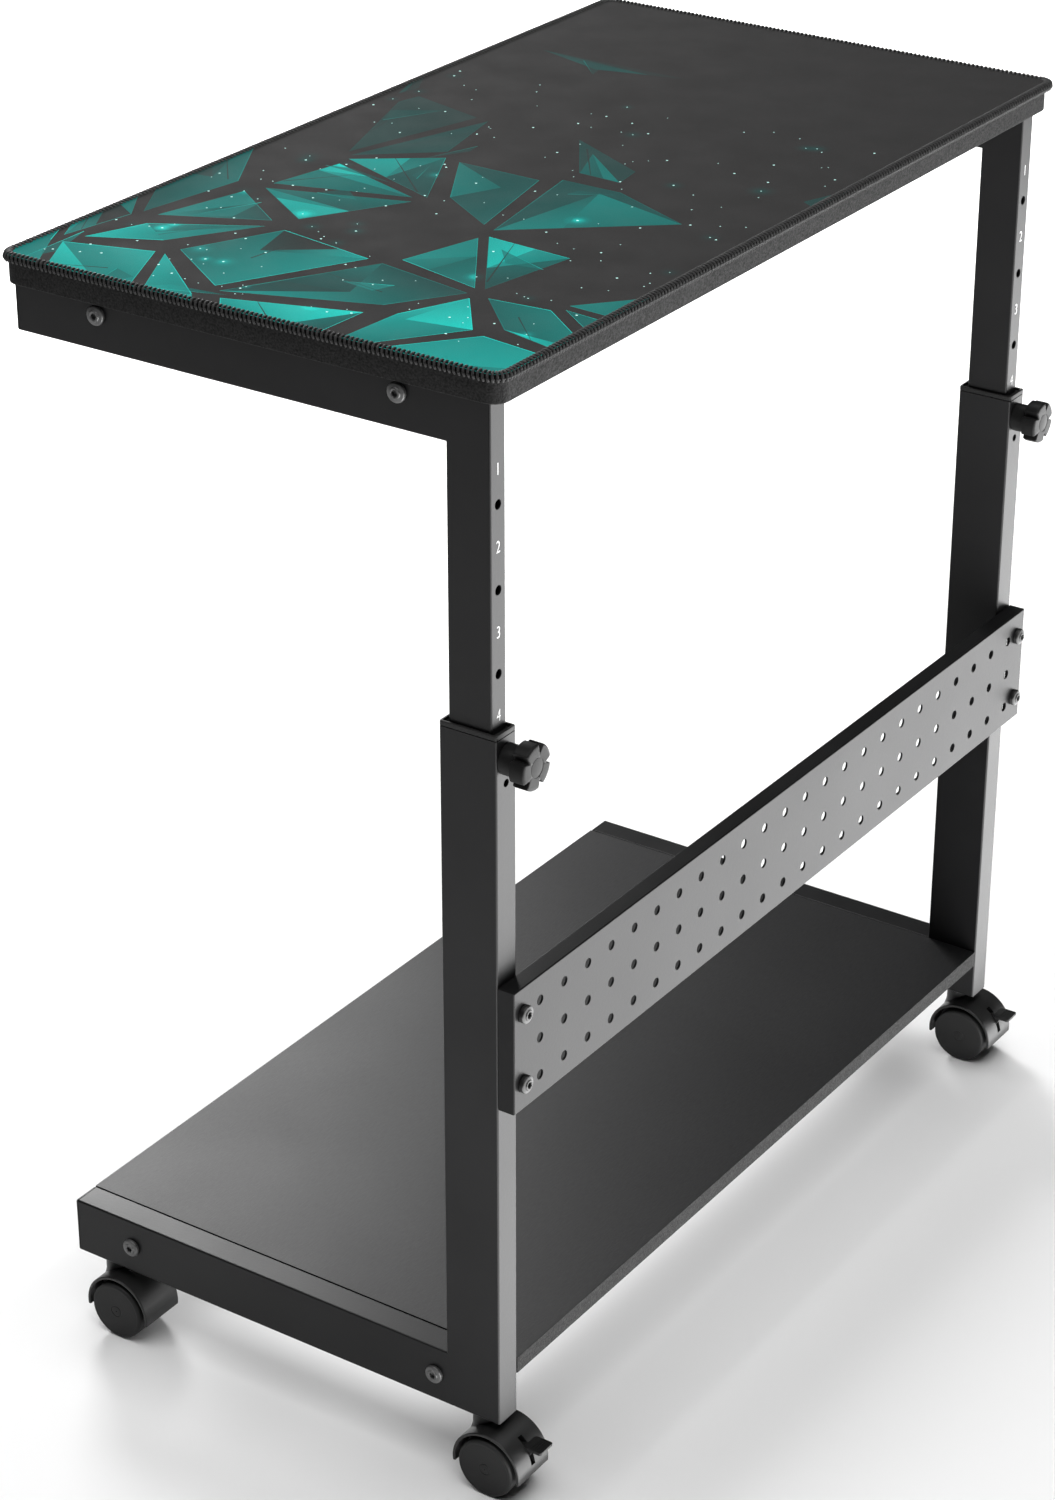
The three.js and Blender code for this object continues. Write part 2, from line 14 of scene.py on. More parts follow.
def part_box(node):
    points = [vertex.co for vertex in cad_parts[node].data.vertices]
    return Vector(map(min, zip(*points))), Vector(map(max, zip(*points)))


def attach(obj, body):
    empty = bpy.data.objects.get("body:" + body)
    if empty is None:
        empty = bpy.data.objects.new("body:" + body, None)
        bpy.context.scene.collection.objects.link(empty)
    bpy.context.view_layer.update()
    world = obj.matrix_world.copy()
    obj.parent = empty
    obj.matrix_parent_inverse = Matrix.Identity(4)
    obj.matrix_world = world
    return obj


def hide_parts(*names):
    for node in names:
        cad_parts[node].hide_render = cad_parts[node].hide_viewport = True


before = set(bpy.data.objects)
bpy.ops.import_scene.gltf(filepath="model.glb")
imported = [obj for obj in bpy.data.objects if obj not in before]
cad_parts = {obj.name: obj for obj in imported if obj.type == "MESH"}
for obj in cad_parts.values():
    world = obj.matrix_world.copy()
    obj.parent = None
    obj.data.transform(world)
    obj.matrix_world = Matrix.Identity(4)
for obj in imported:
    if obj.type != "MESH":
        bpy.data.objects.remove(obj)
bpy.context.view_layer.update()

# ------------------------------------------------------------------ driving dimensions, in metres

MM = 0.001
TUBE_RADIUS = 1.3 * MM
TUBE_WALL = 1.5 * MM
PAST_END = 20 * MM  # how far a cutter runs past the end that it opens
THROUGH_WALL = 8 * MM  # length of a cutter that drills one wall of a tube
EDGE = 0.35 * MM  # small rounding on cut metal edges
HOLE_SIDES = 40

GUARD_SHEET = 1.5 * MM
GUARD_BEND = 0.9 * MM
GUARD_INNER_BEND = 0.3 * MM
GUARD_BEND_STEPS = 5
GUARD_CORNER_R = 0.5 * MM
GUARD_HOLE_R = 3.25 * MM
GUARD_PITCH = 26.05 * MM
GUARD_FIRST_HOLE = 27.5 * MM  # from the panel's front end
GUARD_COLUMNS = 24
GUARD_MID_RISE = 41.3 * MM  # middle row of holes above the panel's lower edge

LOCK_HOLE_R = 3 * MM
LOCK_PITCH = 52.2 * MM
LOCK_HOLES = 4
PILOT_R = 2.5 * MM
PILOT_DROP = 16 * MM

DIGIT_SIZE = 10.8 * MM  # of the typeface
DIGIT_INK = 0.03 * MM  # half the ink's thickness
DIGIT_THINNING = 0.1 * MM
DIGIT_NARROWING = 0.8
DIGIT_RISES = [177.5, 130.5, 78, 25.6]  # mm above the knob axis, numbers 1 to 4

STITCH_PITCH = 3.2 * MM
THREAD_R = 0.8 * MM

FLOOR_SIZE = 14
CAMERA = {"place": (1.2252, -1.8636, 1.4861), "azimuth": 34.10, "elevation": 27.10, "lens": 88.55}

ENDS = {"front": -1, "rear": 1}  # each end's outward direction along Y
SIDES = ("left", "right")


# ------------------------------------------------------------------ material nodes

def new_material(name, colour, roughness, **sockets):
    """Principled material. Returns the material, its node tree and its shader node."""
    material = bpy.data.materials.new(name)
    material.use_nodes = True
    tree = material.node_tree
    shader = tree.nodes["Principled BSDF"]
    shader.inputs["Base Color"].default_value = (*colour, 1)
    shader.inputs["Roughness"].default_value = roughness
    for socket, value in sockets.items():
        shader.inputs[socket.replace("_", " ")].default_value = value
    return material, tree, shader


def node(tree, kind, **settings):
    """Adds a node. A setting is a property of the node, or else the value of an input."""
    made = tree.nodes.new(kind)
    for key, value in settings.items():
        if hasattr(made, key):
            setattr(made, key, value)
        else:
            made.inputs[key.replace("_", " ")].default_value = value
    return made


def coordinates(tree, stretch=(1, 1, 1)):
    """Object coordinates, which are the stand's own frame in metres, optionally stretched."""
    place = node(tree, "ShaderNodeTexCoord")
    mapping = node(tree, "ShaderNodeMapping")
    mapping.inputs["Scale"].default_value = stretch
    tree.links.new(place.outputs["Object"], mapping.inputs["Vector"])
    return mapping.outputs["Vector"]


def noise(tree, vector, scale, detail=3.0, rough=0.5):
    made = node(tree, "ShaderNodeTexNoise", Scale=scale, Detail=detail, Roughness=rough)
    tree.links.new(vector, made.inputs["Vector"])
    return made.outputs["Fac"]


def span(tree, value, low, high, from_low=0.3, from_high=0.7):
    """Maps a texture's middle range to low..high."""
    made = node(tree, "ShaderNodeMapRange")
    for socket, number in (
        ("From Min", from_low),
        ("From Max", from_high),
        ("To Min", low),
        ("To Max", high),
    ):
        made.inputs[socket].default_value = number
    tree.links.new(value, made.inputs["Value"])
    return made.outputs["Result"]


def mixed(tree, factor, low, high):
    """Colour from low to high by a factor."""
    made = node(tree, "ShaderNodeMix", data_type="RGBA")
    tree.links.new(factor, made.inputs["Factor"])
    made.inputs["A"].default_value = (*low, 1)
    made.inputs["B"].default_value = (*high, 1)
    return made.outputs["Result"]


def bump(tree, shader, height, distance, strength=1.0, under=None):
    made = node(tree, "ShaderNodeBump", Strength=strength, Distance=distance)
    tree.links.new(height, made.inputs["Height"])
    if under is not None:
        tree.links.new(under, made.inputs["Normal"])
    tree.links.new(made.outputs["Normal"], shader.inputs["Normal"])
    return made.outputs["Normal"]


def tinted(tree, shader, factor, dark, light):
    """Colours a shader from dark to light by a texture's middle range."""
    tree.links.new(mixed(tree, span(tree, factor, 0, 1), dark, light), shader.inputs["Base Color"])


def roughened(tree, shader, factor, low, high, *ends):
    """Varies a shader's roughness by a texture."""
    tree.links.new(span(tree, factor, low, high, *ends), shader.inputs["Roughness"])


def powder_coat(name, specular):
    """Fine-textured charcoal powder coat over steel tube and sheet."""
    material, tree, shader = new_material(name, (0.009,) * 3, 0.36, Specular_IOR_Level=specular)
    place = coordinates(tree)
    cloud = noise(tree, place, 14, 4)
    grain = noise(tree, place, 2200, 2)
    tinted(tree, shader, cloud, (0.007, 0.007, 0.0073), (0.010, 0.010, 0.0104))
    roughened(tree, shader, cloud, 0.33, 0.38)
    peel = bump(tree, shader, noise(tree, place, 520, 2), 0.00006, 0.5)
    bump(tree, shader, grain, 0.00003, 0.6, peel)
    return material


def pebbled():
    """Charcoal edge banding with a coarse pebbled emboss."""
    material, tree, shader = new_material("pebbled", (0.015,) * 3, 0.6, Specular_IOR_Level=0.11)
    place = coordinates(tree)
    pebble = noise(tree, place, 750, 4, 0.6)
    tinted(tree, shader, pebble, (0.006,) * 3, (0.022,) * 3)
    roughened(tree, shader, pebble, 0.75, 0.55)
    under = bump(tree, shader, pebble, 0.0006, 0.9)
    bump(tree, shader, noise(tree, place, 2400, 2), 0.0001, 0.5, under)
    return material


def laminate():
    """Charcoal laminate: a fine pressed grain that runs along Y."""
    material, tree, shader = new_material("laminate", (0.012,) * 3, 0.43, Specular_IOR_Level=0.22)
    along = coordinates(tree, (1, 0.16, 1))
    grain = noise(tree, along, 900, 5, 0.62)
    fleck = noise(tree, coordinates(tree), 1500, 3, 0.7)
    cloud = noise(tree, coordinates(tree), 9, 3)
    colour = mixed(tree, span(tree, grain, 0, 1), (0.008, 0.008, 0.0085), (0.017, 0.017, 0.0175))
    tint = node(tree, "ShaderNodeMix", data_type="RGBA", blend_type="MULTIPLY")
    tree.links.new(span(tree, fleck, 0.2, 1), tint.inputs["Factor"])
    tree.links.new(colour, tint.inputs["A"])
    tint.inputs["B"].default_value = (0.7, 0.7, 0.72, 1)
    tree.links.new(tint.outputs["Result"], shader.inputs["Base Color"])
    roughened(tree, shader, cloud, 0.41, 0.45)
    under = bump(tree, shader, fleck, 0.00008, 0.5)
    bump(tree, shader, grain, 0.00012, 0.6, under)
    return material


def mat_cloth():
    """Printed micro-weave cloth. The print is a colour attribute, and the weave is in the nodes."""
    material, tree, shader = new_material(
        "mat_cloth", (0.03,) * 3, 0.85, Specular_IOR_Level=0.08
    )
    printed = node(tree, "ShaderNodeAttribute", attribute_name="print")
    place = coordinates(tree)
    weave = []
    for direction in ("X", "Y"):
        wave = node(tree, "ShaderNodeTexWave", bands_direction=direction, Scale=520, Distortion=0.4)
        tree.links.new(place, wave.inputs["Vector"])
        weave.append(wave.outputs["Fac"])
    crossed = node(tree, "ShaderNodeMath", operation="MULTIPLY")
    tree.links.new(weave[0], crossed.inputs[0])
    tree.links.new(weave[1], crossed.inputs[1])
    shade = node(tree, "ShaderNodeMix", data_type="RGBA", blend_type="MULTIPLY")
    shade.inputs["Factor"].default_value = 1
    tree.links.new(printed.outputs["Color"], shade.inputs["A"])
    yarn = mixed(tree, span(tree, noise(tree, place, 1400, 2), 0, 1), (0.8, 0.8, 0.8), (1, 1, 1))
    tree.links.new(yarn, shade.inputs["B"])
    tree.links.new(shade.outputs["Result"], shader.inputs["Base Color"])
    roughened(tree, shader, noise(tree, place, 30, 3), 0.8, 0.9)
    slack = bump(tree, shader, noise(tree, place, 16, 2), 0.0009, 0.08)
    bump(tree, shader, crossed.outputs["Value"], 0.00012, 0.55, slack)
    return material


def thread(name, dark, light, specular):
    """Black polyester overlock thread with a faint twist."""
    material, tree, shader = new_material(name, dark, 0.5, Specular_IOR_Level=specular)
    place = coordinates(tree)
    twist = node(tree, "ShaderNodeTexWave", bands_direction="DIAGONAL", Scale=900, Distortion=1.5)
    tree.links.new(place, twist.inputs["Vector"])
    tinted(tree, shader, noise(tree, place, 500, 2), dark, light)
    roughened(tree, shader, twist.outputs["Fac"], 0.5, 0.65, 0, 1)
    bump(tree, shader, twist.outputs["Fac"], 0.00012, 0.7)
    return material


def moulded(name, dark, light, roughness, grain_scale, grain_depth, specular=0.2):
    """Black moulded plastic with a spark-eroded grain and slight flow marks."""
    material, tree, shader = new_material(name, dark, roughness, Specular_IOR_Level=specular)
    place = coordinates(tree)
    flow = noise(tree, place, 35, 4)
    tinted(tree, shader, flow, dark, light)
    roughened(tree, shader, flow, roughness - 0.04, roughness + 0.05)
    under = bump(tree, shader, noise(tree, place, grain_scale, 3), grain_depth, 0.5)
    bump(tree, shader, flow, 0.0003, 0.12, under)
    return material


def steel(name, dark, light, roughness):
    """Plated or phosphated steel with fine turning marks."""
    material, tree, shader = new_material(name, dark, roughness, Metallic=0.85)
    place = coordinates(tree)
    stain = noise(tree, place, 120, 5)
    tinted(tree, shader, stain, dark, light)
    roughened(tree, shader, stain, roughness - 0.06, roughness + 0.1)
    bump(tree, shader, noise(tree, place, 2600, 2), 0.00003, 0.6)
    return material


def ink():
    """White pad-printed numbers, slightly uneven."""
    material, tree, shader = new_material("ink", (0.75, 0.75, 0.75), 0.5)
    place = coordinates(tree)
    tinted(tree, shader, noise(tree, place, 900, 3), (0.62,) * 3, (0.8,) * 3)
    bump(tree, shader, noise(tree, place, 2500, 2), 0.00002, 0.4)
    return material


POWDER = powder_coat("powder_coat", 0.2)
SHEET_COAT = powder_coat("sheet_coat", 0.125)
BOARD = laminate()
EDGE_BAND = pebbled()
CLOTH = mat_cloth()
THREAD = thread("thread", (0.016,) * 3, (0.03,) * 3, 0.3)
# The core yarn is a much darker, less glossy copy of the thread: painted shade in the gaps between
# the stitched ribs.
CORE_YARN_PAINTED_SHADE = thread("core_yarn_painted_shade", (0.002,) * 3, (0.004,) * 3, 0.04)
CAP_PLASTIC = moulded("cap_plastic", (0.012,) * 3, (0.017,) * 3, 0.42, 1800, 0.00005)
KNOB_PLASTIC = moulded("knob_plastic", (0.01,) * 3, (0.014,) * 3, 0.36, 1500, 0.00003, 0.08)
CASTER_PLASTIC = moulded("caster_plastic", (0.011,) * 3, (0.015,) * 3, 0.36, 1500, 0.00003, 0.38)
LEVER_PLASTIC = moulded("lever_plastic", (0.008,) * 3, (0.011,) * 3, 0.5, 1500, 0.00004)
WHEEL_PLASTIC = moulded("wheel_plastic", (0.014,) * 3, (0.019,) * 3, 0.5, 1100, 0.00005)
SCREW_STEEL = steel("screw_steel", (0.1,) * 3, (0.16,) * 3, 0.45)
BLACK_STEEL = steel("black_steel", (0.035,) * 3, (0.06,) * 3, 0.4)
ZINC = steel("zinc", (0.42, 0.42, 0.43), (0.6, 0.6, 0.62), 0.34)
INK = ink()


# ------------------------------------------------------------------ mesh building

def rounded(width, height, radius, steps=6):
    """Points round a rectangle with round corners, centred on the origin."""
    points = []
    for corner, (sx, sy) in enumerate([(1, 1), (-1, 1), (-1, -1), (1, -1)]):
        for step in range(steps + 1):
            angle = math.pi / 2 * (corner + step / steps)
            points.append(
                (
                    sx * (width / 2 - radius) + radius * math.cos(angle),
                    sy * (height / 2 - radius) + radius * math.sin(angle),
                )
            )
    return points


def circle(radius, sides=48):
    return [
        (radius * math.cos(2 * math.pi * i / sides), radius * math.sin(2 * math.pi * i / sides))
        for i in range(sides)
    ]


def turned(profile, sides=48):
    """Rings of circles, for lofting, from (radius, height) pairs."""
    return [(circle(radius, sides), height) for radius, height in profile]


def hexagon(apothem, sides=48):
    """A hexagon's outline with as many points as a circle, for lofting from one to the other."""
    points = []
    for i in range(sides):
        angle = 2 * math.pi * i / sides
        radius = apothem / math.cos((angle + math.pi / 6) % (math.pi / 3) - math.pi / 6)
        points.append((radius * math.cos(angle), radius * math.sin(angle)))
    return points


AXES = {
    "x": lambda a, b, h: Vector((h, a, b)),
    "y": lambda a, b, h: Vector((b, h, a)),
    "z": lambda a, b, h: Vector((a, b, h)),
}


def loft(rings, axis, origin, closed=False):
    """Mesh through rings of (outline, height) along an axis. It is capped, or closed on itself."""
    mesh = bmesh.new()
    origin = Vector(origin)
    rows = []
    for outline, height in rings:
        rows.append([mesh.verts.new(origin + AXES[axis](a, b, height)) for a, b in outline])
    pairs = list(zip(rows, rows[1:]))
    if closed:
        pairs.append((rows[-1], rows[0]))
    else:
        mesh.faces.new(rows[0])
        mesh.faces.new(rows[-1])
    for low, high in pairs:
        for i in range(len(low)):
            j = (i + 1) % len(low)
            mesh.faces.new((low[i], low[j], high[j], high[i]))
    bmesh.ops.recalc_face_normals(mesh, faces=mesh.faces)
    return mesh


def prism(outline, axis, low, high):
    """Closed prism of an outline between two heights along an axis, in the stand's frame."""
    return loft([(outline, low), (outline, high)], axis, (0, 0, 0))


def bevel(mesh, width, segments, wanted):
    """Rounds the edges for which wanted(edge) is true."""
    edges = [edge for edge in mesh.edges if wanted(edge)]
    bmesh.ops.bevel(
        mesh, geom=edges, offset=width, segments=segments, profile=0.5, affect="EDGES"
    )
    bmesh.ops.recalc_face_normals(mesh, faces=mesh.faces)
    return mesh


def sharp(degrees):
    limit = math.radians(degrees)
    return lambda edge: len(edge.link_faces) == 2 and edge.calc_face_angle(0) > limit


def merged(*meshes):
    """One mesh from several."""
    whole = bmesh.new()
    for part in meshes:
        data = bpy.data.meshes.new("part")
        part.to_mesh(data)
        part.free()
        whole.from_mesh(data)
        bpy.data.meshes.remove(data)
    return whole


def to_object(name, mesh):
    data = bpy.data.meshes.new(name)
    mesh.to_mesh(data)
    mesh.free()
    piece = bpy.data.objects.new(name, data)
    bpy.context.scene.collection.objects.link(piece)
    return piece


def apply_modifiers(piece):
    graph = bpy.context.evaluated_depsgraph_get()
    data = bpy.data.meshes.new_from_object(piece.evaluated_get(graph), depsgraph=graph)
    piece.modifiers.clear()
    piece.data = data


def carve(mesh, cutters, operation="DIFFERENCE", soften=0.0):
    """Cuts the cutters out of a mesh, or joins them to it. Returns a mesh."""
    piece = to_object("carved", mesh)
    tools = [to_object("cutter", cutter) for cutter in cutters]
    for tool in tools:
        boolean = piece.modifiers.new("cut", "BOOLEAN")
        boolean.operation = operation
        boolean.solver = "EXACT"
        boolean.object = tool
    if soften:
        rounding = piece.modifiers.new("soften", "BEVEL")
        rounding.width = soften
        rounding.segments = 2
        rounding.limit_method = "ANGLE"
        rounding.angle_limit = math.radians(50)
        rounding.harden_normals = False
    apply_modifiers(piece)
    result = bmesh.new()
    result.from_mesh(piece.data)
    for used in [piece, *tools]:
        bpy.data.objects.remove(used)
    return result


def show(name, mesh, body, material, replaced=(), angle=32):
    """Makes a finished piece: shading, material, body and the CAD nodes it stands for."""
    piece = to_object(name, mesh) if isinstance(mesh, bmesh.types.BMesh) else mesh
    piece.data.materials.clear()
    piece.data.materials.append(material)
    piece.data.shade_smooth()
    piece.data.set_sharp_from_angle(angle=math.radians(angle))
    flat = piece.modifiers.new("flat_faces", "WEIGHTED_NORMAL")
    flat.keep_sharp = True
    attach(piece, body)
    if replaced:
        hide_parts(*replaced)
    return piece


def middle(name):
    low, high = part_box(name)
    return (low + high) / 2


def cylinder(axis, centre, radius, length, sides=HOLE_SIDES):
    outline = circle(radius, sides)
    return loft([(outline, -length / 2), (outline, length / 2)], axis, centre)


def block(low, high):
    outline = [(low[0], low[1]), (high[0], low[1]), (high[0], high[1]), (low[0], high[1])]
    return prism(outline, "z", low[2], high[2])


# ------------------------------------------------------------------ steel frames

def square_tube(node_name):
    """A crossbar: rounded square tube with its ends closed by drilled plates."""
    low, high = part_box(node_name)
    side = high.x - low.x
    length = high.y - low.y
    outer = rounded(side, side, TUBE_RADIUS)
    cut_edge = rounded(side - 2 * EDGE, side - 2 * EDGE, TUBE_RADIUS - EDGE)
    bore = circle(3.3 * MM, len(outer))
    aligned = bore[-3:] + bore[:-3]
    rings = [
        (aligned, 0),
        (cut_edge, 0),
        (outer, EDGE),
        (outer, length - EDGE),
        (cut_edge, length),
        (aligned, length),
    ]
    origin = ((low.x + high.x) / 2, low.y, (low.z + high.z) / 2)
    return loft(rings, "y", origin, closed=True)


def welded_corner(outline, low_y, high_y, open_ends, bores, drills):
    """A post and a rail welded into one corner. outline is in X and Z."""
    flipped = [(z, x) for x, z in outline]
    body = prism(flipped, "y", low_y, high_y)

    def runs_along_tube(edge):
        a, b = (vert.co for vert in edge.verts)
        if abs(a.y - b.y) > MM:
            return False
        return not any(
            abs(getattr(a, axis) - value) < MM and abs(getattr(b, axis) - value) < MM
            for axis, value in open_ends
        )

    bevel(body, TUBE_RADIUS, 6, runs_along_tube)
    return carve(body, [merged(*bores), merged(*drills)], soften=EDGE * 0.6)


def show_corner(name, body, outline, post, rail, open_z, drills, replaced):
    """Bores both tubes out through their open ends, drills the corner and shows it."""
    wall = Vector((TUBE_WALL,) * 3)
    rail_bore = block(rail[0] + wall - Vector((PAST_END, 0, 0)), rail[1] - wall)
    inside_low = post[0] + wall
    inside_high = post[1] - wall
    if open_z == post[1].z:
        inside_high.z += PAST_END
    else:
        inside_low.z -= PAST_END
    bores = [rail_bore, block(inside_low, inside_high)]
    ends = [("x", rail[0].x), ("z", open_z)]
    corner = welded_corner(outline, post[0].y, post[1].y, ends, bores, drills)
    show(name, corner, body, POWDER, replaced)


def lower_corner(end):
    """Lower post and rail: one welded piece with the knob and pilot holes."""
    post_low, post_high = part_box(f"{end}_lower_post")
    rail_low, rail_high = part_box(f"{end}_lower_rail")
    left = rail_low.x
    outline = [
        (left, rail_low.z),
        (post_high.x, rail_low.z),
        (post_high.x, post_high.z),
        (post_low.x, post_high.z),
        (post_low.x, rail_high.z),
        (left, rail_high.z),
    ]
    knob = middle(f"{end}_knob_bolt")
    face = Vector((post_high.x, knob.y, 0))
    drills = [
        cylinder("x", face + Vector((0, 0, knob.z - PILOT_DROP)), PILOT_R, THROUGH_WALL),
        cylinder("x", face + Vector((0, 0, knob.z)), LOCK_HOLE_R + 0.3 * MM, THROUGH_WALL),
    ]
    post = (post_low, post_high)
    rail = (rail_low, rail_high)
    replaced = [f"{end}_lower_post", f"{end}_lower_rail"]
    name = f"{end}_lower_frame"
    show_corner(name, "lower_frame", outline, post, rail, post_high.z, drills, replaced)


def upper_corner(end):
    """Upper post and apron: one welded piece with the height holes."""
    post_low, post_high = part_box(f"{end}_upper_post")
    rail_low, rail_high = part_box(f"{end}_apron_rail")
    left = rail_low.x
    top = post_high.z
    outline = [
        (left, rail_low.z),
        (post_low.x, rail_low.z),
        (post_low.x, post_low.z),
        (post_high.x, post_low.z),
        (post_high.x, top),
        (left, top),
    ]
    knob = middle(f"{end}_knob_bolt")
    drills = []
    for step in range(LOCK_HOLES):
        place = (post_high.x, knob.y, knob.z + step * LOCK_PITCH)
        drills.append(cylinder("x", place, LOCK_HOLE_R, THROUGH_WALL))
    post = (post_low, post_high)
    rail = (rail_low, rail_high)
    replaced = [f"{end}_upper_post", f"{end}_apron_rail"]
    name = f"{end}_upper_frame_tube"
    show_corner(name, "upper_frame", outline, post, rail, post_low.z, drills, replaced)


def end_cap(name, body):
    """Plastic plug in a rail's open end: a slightly domed flange and a ribbed plug."""
    low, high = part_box(name)
    centre = (low + high) / 2
    thick = high.y - low.y
    tall = high.z - low.z
    flange = 1.7 * MM
    rim = 0.7 * MM
    outer = TUBE_RADIUS
    rings = [
        (rounded(thick - 6 * rim, tall - 6 * rim, outer * 0.6), 0),
        (rounded(thick - 2.4 * rim, tall - 2.4 * rim, outer * 0.8), 0.12 * MM),
        (rounded(thick - 0.7 * rim, tall - 0.7 * rim, outer), 0.45 * MM),
        (rounded(thick, tall, outer), rim + 0.3 * MM),
        (rounded(thick, tall, outer), flange),
    ]
    plug_wide = thick - 2 * TUBE_WALL - 0.6 * MM
    plug_tall = tall - 2 * TUBE_WALL - 0.6 * MM
    rings.append((rounded(plug_wide, plug_tall, 0.6 * MM), flange))
    for rib in range(3):
        start = flange + (1.2 + 2.4 * rib) * MM
        slim = rounded(plug_wide - 1.2 * MM, plug_tall - 1.2 * MM, 0.5 * MM)
        full = rounded(plug_wide, plug_tall, 0.6 * MM)
        rings += [(slim, start), (slim, start + 1.2 * MM), (full, start + 1.4 * MM)]
        rings.append((full, start + 2.0 * MM))
    rings.append((rounded(plug_wide - 2 * MM, plug_tall - 2 * MM, 0.6 * MM), high.x - low.x))
    piece = loft(rings, "x", (low.x, centre.y, centre.z))
    show(f"{name}_moulding", piece, body, CAP_PLASTIC, [name])


def post_sleeve(name):
    """Plastic sleeve in a post's mouth, with a recessed lip round the sliding tube."""
    low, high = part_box(name)
    centre = (low + high) / 2
    wide = high.x - low.x
    deep = high.y - low.y
    throat = (30.6 * MM, 15.6 * MM)
    liner = (wide - 2 * TUBE_WALL - 0.6 * MM, deep - 2 * TUBE_WALL - 0.6 * MM)
    flange_low = high.z - 3.3 * MM
    lip = 1.3 * MM

    def ring(size, radius, z):
        return rounded(size[0], size[1], radius), z

    def shrunk(by):
        return wide - 2 * by, deep - 2 * by

    rings = [
        ring(liner, 1.2 * MM, low.z),
        ring(liner, 1.2 * MM, flange_low),
        ring(shrunk(0.3 * MM), TUBE_RADIUS, flange_low),
        ring(shrunk(0), TUBE_RADIUS, flange_low + 0.3 * MM),
        ring(shrunk(0), TUBE_RADIUS, high.z - 0.6 * MM),
        ring(shrunk(0.2 * MM), TUBE_RADIUS, high.z - 0.15 * MM),
        ring(shrunk(0.6 * MM), TUBE_RADIUS * 0.8, high.z),
        ring(shrunk(lip), TUBE_RADIUS * 0.6, high.z),
        ring(shrunk(lip + 0.3 * MM), 1.2 * MM, high.z - 0.4 * MM),
        ring(shrunk(lip + 0.4 * MM), 1.2 * MM, high.z - 1.8 * MM),
        ring((throat[0] + 0.5 * MM, throat[1] + 0.5 * MM), 1.7 * MM, high.z - 1.8 * MM),
        ring(throat, 1.6 * MM, high.z - 2.1 * MM),
        ring(throat, 1.6 * MM, low.z),
    ]
    piece = loft(rings, "z", (centre.x, centre.y, 0), closed=True)
    show(f"{name}_moulding", piece, "lower_frame", CAP_PLASTIC, [name])


# ------------------------------------------------------------------ guard panel

def guard_panel():
    """Folded sheet pan with its grid of holes."""
    low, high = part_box("guard_panel")
    centre = (low + high) / 2
    long = high.y - low.y
    tall = high.z - low.z
    face = high.x

    def bend(inset, radius):
        """Rings round the folded edge of the outer face, or of its inner face."""
        rings = []
        for step in range(GUARD_BEND_STEPS + 1):
            angle = math.pi / 2 * step / GUARD_BEND_STEPS
            shrink = inset + radius * (1 - math.cos(angle))
            height = face - inset - radius * (1 - math.sin(angle))
            outline = rounded(long - 2 * shrink, tall - 2 * shrink, GUARD_CORNER_R, 3)
            rings.append((outline, height))
        return rings

    foot = (rounded(long, tall, GUARD_CORNER_R, 3), low.x)
    origin = (0, centre.y, centre.z)
    pan = loft([foot, *bend(0, GUARD_BEND)], "x", origin)
    inner = bend(GUARD_SHEET, GUARD_INNER_BEND)
    hollow = loft([(inner[0][0], low.x - MM), *inner], "x", origin)
    drills = []
    for column in range(GUARD_COLUMNS):
        for row in (-1, 0, 1):
            y = low.y + GUARD_FIRST_HOLE + column * GUARD_PITCH
            z = low.z + GUARD_MID_RISE + row * GUARD_PITCH
            drills.append(cylinder("x", (face, y, z), GUARD_HOLE_R, 6 * MM, 28))
    panel = carve(pan, [hollow, merged(*drills)], soften=0.22 * MM)
    show("guard_panel_sheet", panel, "lower_frame", SHEET_COAT, ["guard_panel"])


# ------------------------------------------------------------------ screws

def button_screw(name, body, axis, out):
    """Button-head socket screw: domed head with a flat rim, hexagon socket and chamfered shank."""
    low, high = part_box(name)
    centre = (low + high) / 2
    span_along = "xyz".index(axis)
    top = high[span_along] if out > 0 else low[span_along]
    bottom = low[span_along] if out > 0 else high[span_along]
    head_r = (high[2] - low[2]) / 2
    long = abs(top - bottom)
    domed = axis == "x"
    head = 4.2 * MM if domed else 3.4 * MM
    shank_r = 2.5 * MM if domed else 3 * MM
    socket = 1.85 * MM
    rim = long - head
    boss = head_r * 0.56
    profile = turned([
        (shank_r - 0.5 * MM, 0),
        (shank_r, 0.5 * MM),
        (shank_r, rim),
        (head_r - 0.2 * MM, rim),
        (head_r, rim + 0.2 * MM),
    ])
    wall = head * (0.5 if domed else 0.4)
    for step in range(6):
        turn = math.pi / 2 * step / 5
        inset = 1.1 * MM * (1 - math.cos(turn))
        profile.append((circle(head_r - inset), rim + wall + 1.1 * MM * math.sin(turn)))
    shoulder = rim + wall + 1.1 * MM
    profile += [
        (circle(boss + 0.7 * MM), shoulder + 0.25 * (long - shoulder)),
        (circle(boss + 0.35 * MM), shoulder + 0.3 * (long - shoulder)),
        (circle(boss), long - 0.12 * MM),
        (circle(boss - 0.25 * MM), long),
        (circle(socket + 0.6 * MM), long),
        (hexagon(socket + 0.12 * MM), long - 0.2 * MM),
        (hexagon(socket), long - 0.45 * MM),
        (hexagon(socket), long - 2.2 * MM),
        (circle(socket * 0.5), long - 2.6 * MM),
    ]
    placed = [(outline, bottom + out * height) for outline, height in profile]
    origin = centre.copy()
    origin[span_along] = 0
    piece = loft(placed, axis, origin)
    metal = BLACK_STEEL if domed else SCREW_STEEL
    show(f"{name}_turned", piece, body, metal, [name], 28)


# ------------------------------------------------------------------ boards

